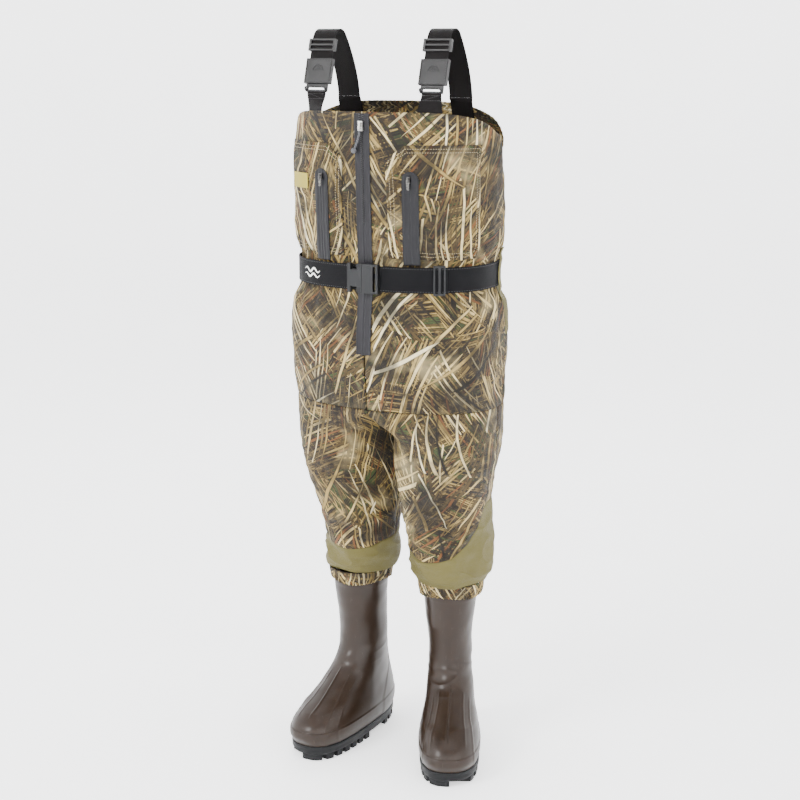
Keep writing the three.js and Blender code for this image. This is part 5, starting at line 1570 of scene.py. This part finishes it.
def build_stage():
    """A round pale studio bowl, a large key from the left, fill, rim and sky light."""
    bend = np.linspace(0, np.pi / 2, 24)
    reach = np.concatenate([[30, 1200, 2400, 3600], 4000 + 1500 * np.sin(bend), [5500]])
    rise = np.concatenate([np.zeros(4), 1500 - 1500 * np.cos(bend), [6500]])
    turn = np.linspace(0, 2 * np.pi, 97)[:-1]
    bowl = xyz(reach[:, None] * np.cos(turn), reach[:, None] * np.sin(turn), rise[:, None] - 0.5)
    sweep = sheet_mesh("Studio sweep", bowl - SHIFT, wrap=True, flip=True, caps="low")
    sweep.data.materials.append(bpy.data.materials["White studio paper"])
    brightness = settings().light
    # Softboxes: place and size in metres, power in watts.
    for name, place, size, strength in (
        ("Key softbox", (-1.5, -3.2, 2.9), 1.5, 150),
        ("Fill softbox", (2.8, -2.2, 1.6), 2.4, 34),
        ("Back softbox", (-1.2, 2.2, 2.8), 1.8, 60),
        ("Top softbox", (0.3, -0.3, 3.6), 2.0, 38),
    ):
        light = bpy.data.lights.new(name, "AREA")
        light.size = size
        light.energy = strength * brightness
        lamp = bpy.data.objects.new(name, light)
        lamp.location = place
        lamp.rotation_euler = (Vector((0, 0, 0.75)) - Vector(place)).to_track_quat("-Z", "Y").to_euler()
        bpy.context.scene.collection.objects.link(lamp)
    world = bpy.data.worlds.new("Studio sky")
    world.use_nodes = True
    sky = world.node_tree.nodes["Background"].inputs
    sky["Color"].default_value = (0.93, 0.95, 1, 1)
    sky["Strength"].default_value = 1.15 * brightness
    bpy.context.scene.world = world
    camera = bpy.data.objects.new("Camera", bpy.data.cameras.new("Camera"))
    camera.data.sensor_width = 36
    camera.data.lens = settings().lens
    camera.location = (np.array(CAMERA_AT) + SHIFT) / 1000
    ahead = math.cos(CAMERA_PITCH)
    look = Vector((-math.sin(CAMERA_YAW) * ahead, math.cos(CAMERA_YAW) * ahead, -math.sin(CAMERA_PITCH)))
    camera.rotation_euler = look.to_track_quat("-Z", "Y").to_euler()
    bpy.context.scene.collection.objects.link(camera)
    bpy.context.scene.camera = camera


# ------------------------------------------------------------------- add-on
def shade(name, text, code):
    """A colour property with an sRGB hex code as its default."""
    return bpy.props.FloatVectorProperty(
        name=name, description=text, subtype="COLOR", size=3, min=0, max=1, default=srgb(code)[:3]
    )


class WadersSettings(bpy.types.PropertyGroup):
    """Sizes and colours of the waders' looks."""

    folds: bpy.props.FloatProperty(
        name="Folds", description="Depth of the cloth's folds",
        default=0.005, min=0, max=0.01, unit="LENGTH",
    )
    gathers: bpy.props.FloatProperty(
        name="Gathers", description="Depth of the pleats beside the belt",
        default=0.0026, min=0, max=0.008, unit="LENGTH",
    )
    print_size: bpy.props.FloatProperty(
        name="Print size", description="Scale of the reed print",
        default=1.0, min=0.3, max=3, subtype="FACTOR",
    )
    olive: shade("Olive", "Colour of the plain cloth", "#5c552b")
    webbing: shade("Webbing", "Colour of the shoulder straps", "#0c0a0a")
    belt: shade("Belt", "Colour of the waist belt", "#08080a")
    buckle: shade("Buckle", "Colour of the strap buckles", "#100f0f")
    belt_buckle: shade("Belt buckle", "Colour of the belt's hardware", "#0c0d0f")
    tape: shade("Zip tape", "Colour of the front zip tape", "#121115")
    pocket_tape: shade("Pocket zip", "Colour of the pocket zips", "#0c0c10")
    coil: shade("Zip teeth", "Colour of the front zip's teeth", "#0a0a0c")
    boot: shade("Boot", "Colour of the boot rubber", "#1f140b")
    sole: shade("Outsole", "Colour of the outsole rubber", "#07080a")
    label: shade("Label", "Colour of the small patch", "#8a7c1c")
    knob: shade("Knob", "Colour of the pull's knob", "#3a3b3e")
    thread: shade("Thread", "Colour of the tan stitching", "#9a8c6c")
    dark_thread: shade("Dark thread", "Colour of the stitching on webbing", "#2b2a2b")
    mark: shade("Mark", "Colour of the embroidered wave", "#e9e8e4")
    light: bpy.props.FloatProperty(
        name="Light", description="Strength of the studio light",
        default=1.0, min=0, max=5, subtype="FACTOR",
    )
    lens: bpy.props.FloatProperty(
        name="Lens", description="Focal length in millimetres",
        default=69.2, min=20, max=200, unit="CAMERA",
    )


STEPS = (
    ("materials", "Make materials", make_materials),
    ("front_panels", "Add front panels", build_front_panels),
    ("back_panels", "Add back panels", build_back_panels),
    ("elastic_hem", "Add elastic hem", build_elastic_hem),
    ("leg_panels", "Add leg panels", build_leg_panels),
    ("shins", "Add shins", build_shins),
    ("hem_bands", "Add hem bands", build_hem_bands),
    ("front_zip", "Add front zip", build_front_zip),
    ("pocket_panels", "Add pocket panels", build_pocket_panels),
    ("pocket_zips", "Add pocket zips", build_pocket_zips),
    ("label", "Add label", build_label),
    ("zip_hardware", "Add zip sliders and pulls", build_zip_hardware),
    ("boots", "Add boots", build_boots),
    ("outsoles", "Add outsoles", build_outsoles),
    ("straps", "Add shoulder straps", build_straps),
    ("sewn_webbing", "Add sewn webbing", build_sewn_webbing),
    ("strap_hardware", "Add strap hardware", build_strap_hardware),
    ("belt", "Add belt", build_belt),
    ("belt_mark", "Add belt mark", build_belt_mark),
    ("belt_hardware", "Add belt hardware", build_belt_hardware),
    ("belt_loops", "Add belt loops", build_belt_loops),
    ("linings", "Dress the linings", dress_linings),
    ("stage", "Add stage", build_stage),
)


def operator_for(key, label, build):
    """An operator class whose execute calls one build function."""

    def execute(self, context):
        """Builds the step's pieces."""
        build()
        return {"FINISHED"}

    return type(
        "WADERS_OT_" + key,
        (bpy.types.Operator,),
        {
            "__doc__": " ".join(build.__doc__.split()),
            "bl_idname": "waders." + key,
            "bl_label": label,
            "execute": execute,
        },
    )


OPERATORS = [operator_for(*step) for step in STEPS]


class WADERS_PT_panel(bpy.types.Panel):
    """Lists the steps and the settings in the sidebar."""

    bl_label = "Chest Waders"
    bl_idname = "WADERS_PT_panel"
    bl_space_type = "VIEW_3D"
    bl_region_type = "UI"
    bl_category = "Waders"

    def draw(self, context):
        """Shows each setting, then a button for each step."""
        for name in WadersSettings.__annotations__:
            self.layout.prop(context.scene.waders, name)
        for made in OPERATORS:
            self.layout.operator(made.bl_idname)


CLASSES = [WadersSettings, *OPERATORS, WADERS_PT_panel]


def register():
    """Adds the classes and the scene's settings."""
    for made in CLASSES:
        bpy.utils.register_class(made)
    bpy.types.Scene.waders = bpy.props.PointerProperty(type=WadersSettings)


def unregister():
    """Removes them again."""
    del bpy.types.Scene.waders
    for made in reversed(CLASSES):
        bpy.utils.unregister_class(made)


def main():
    """Registers the add-on, runs its steps in order and writes the sizes."""
    register()
    for key, _, _ in STEPS:
        getattr(bpy.ops.waders, key)()


if __name__ == "__main__":
    main()
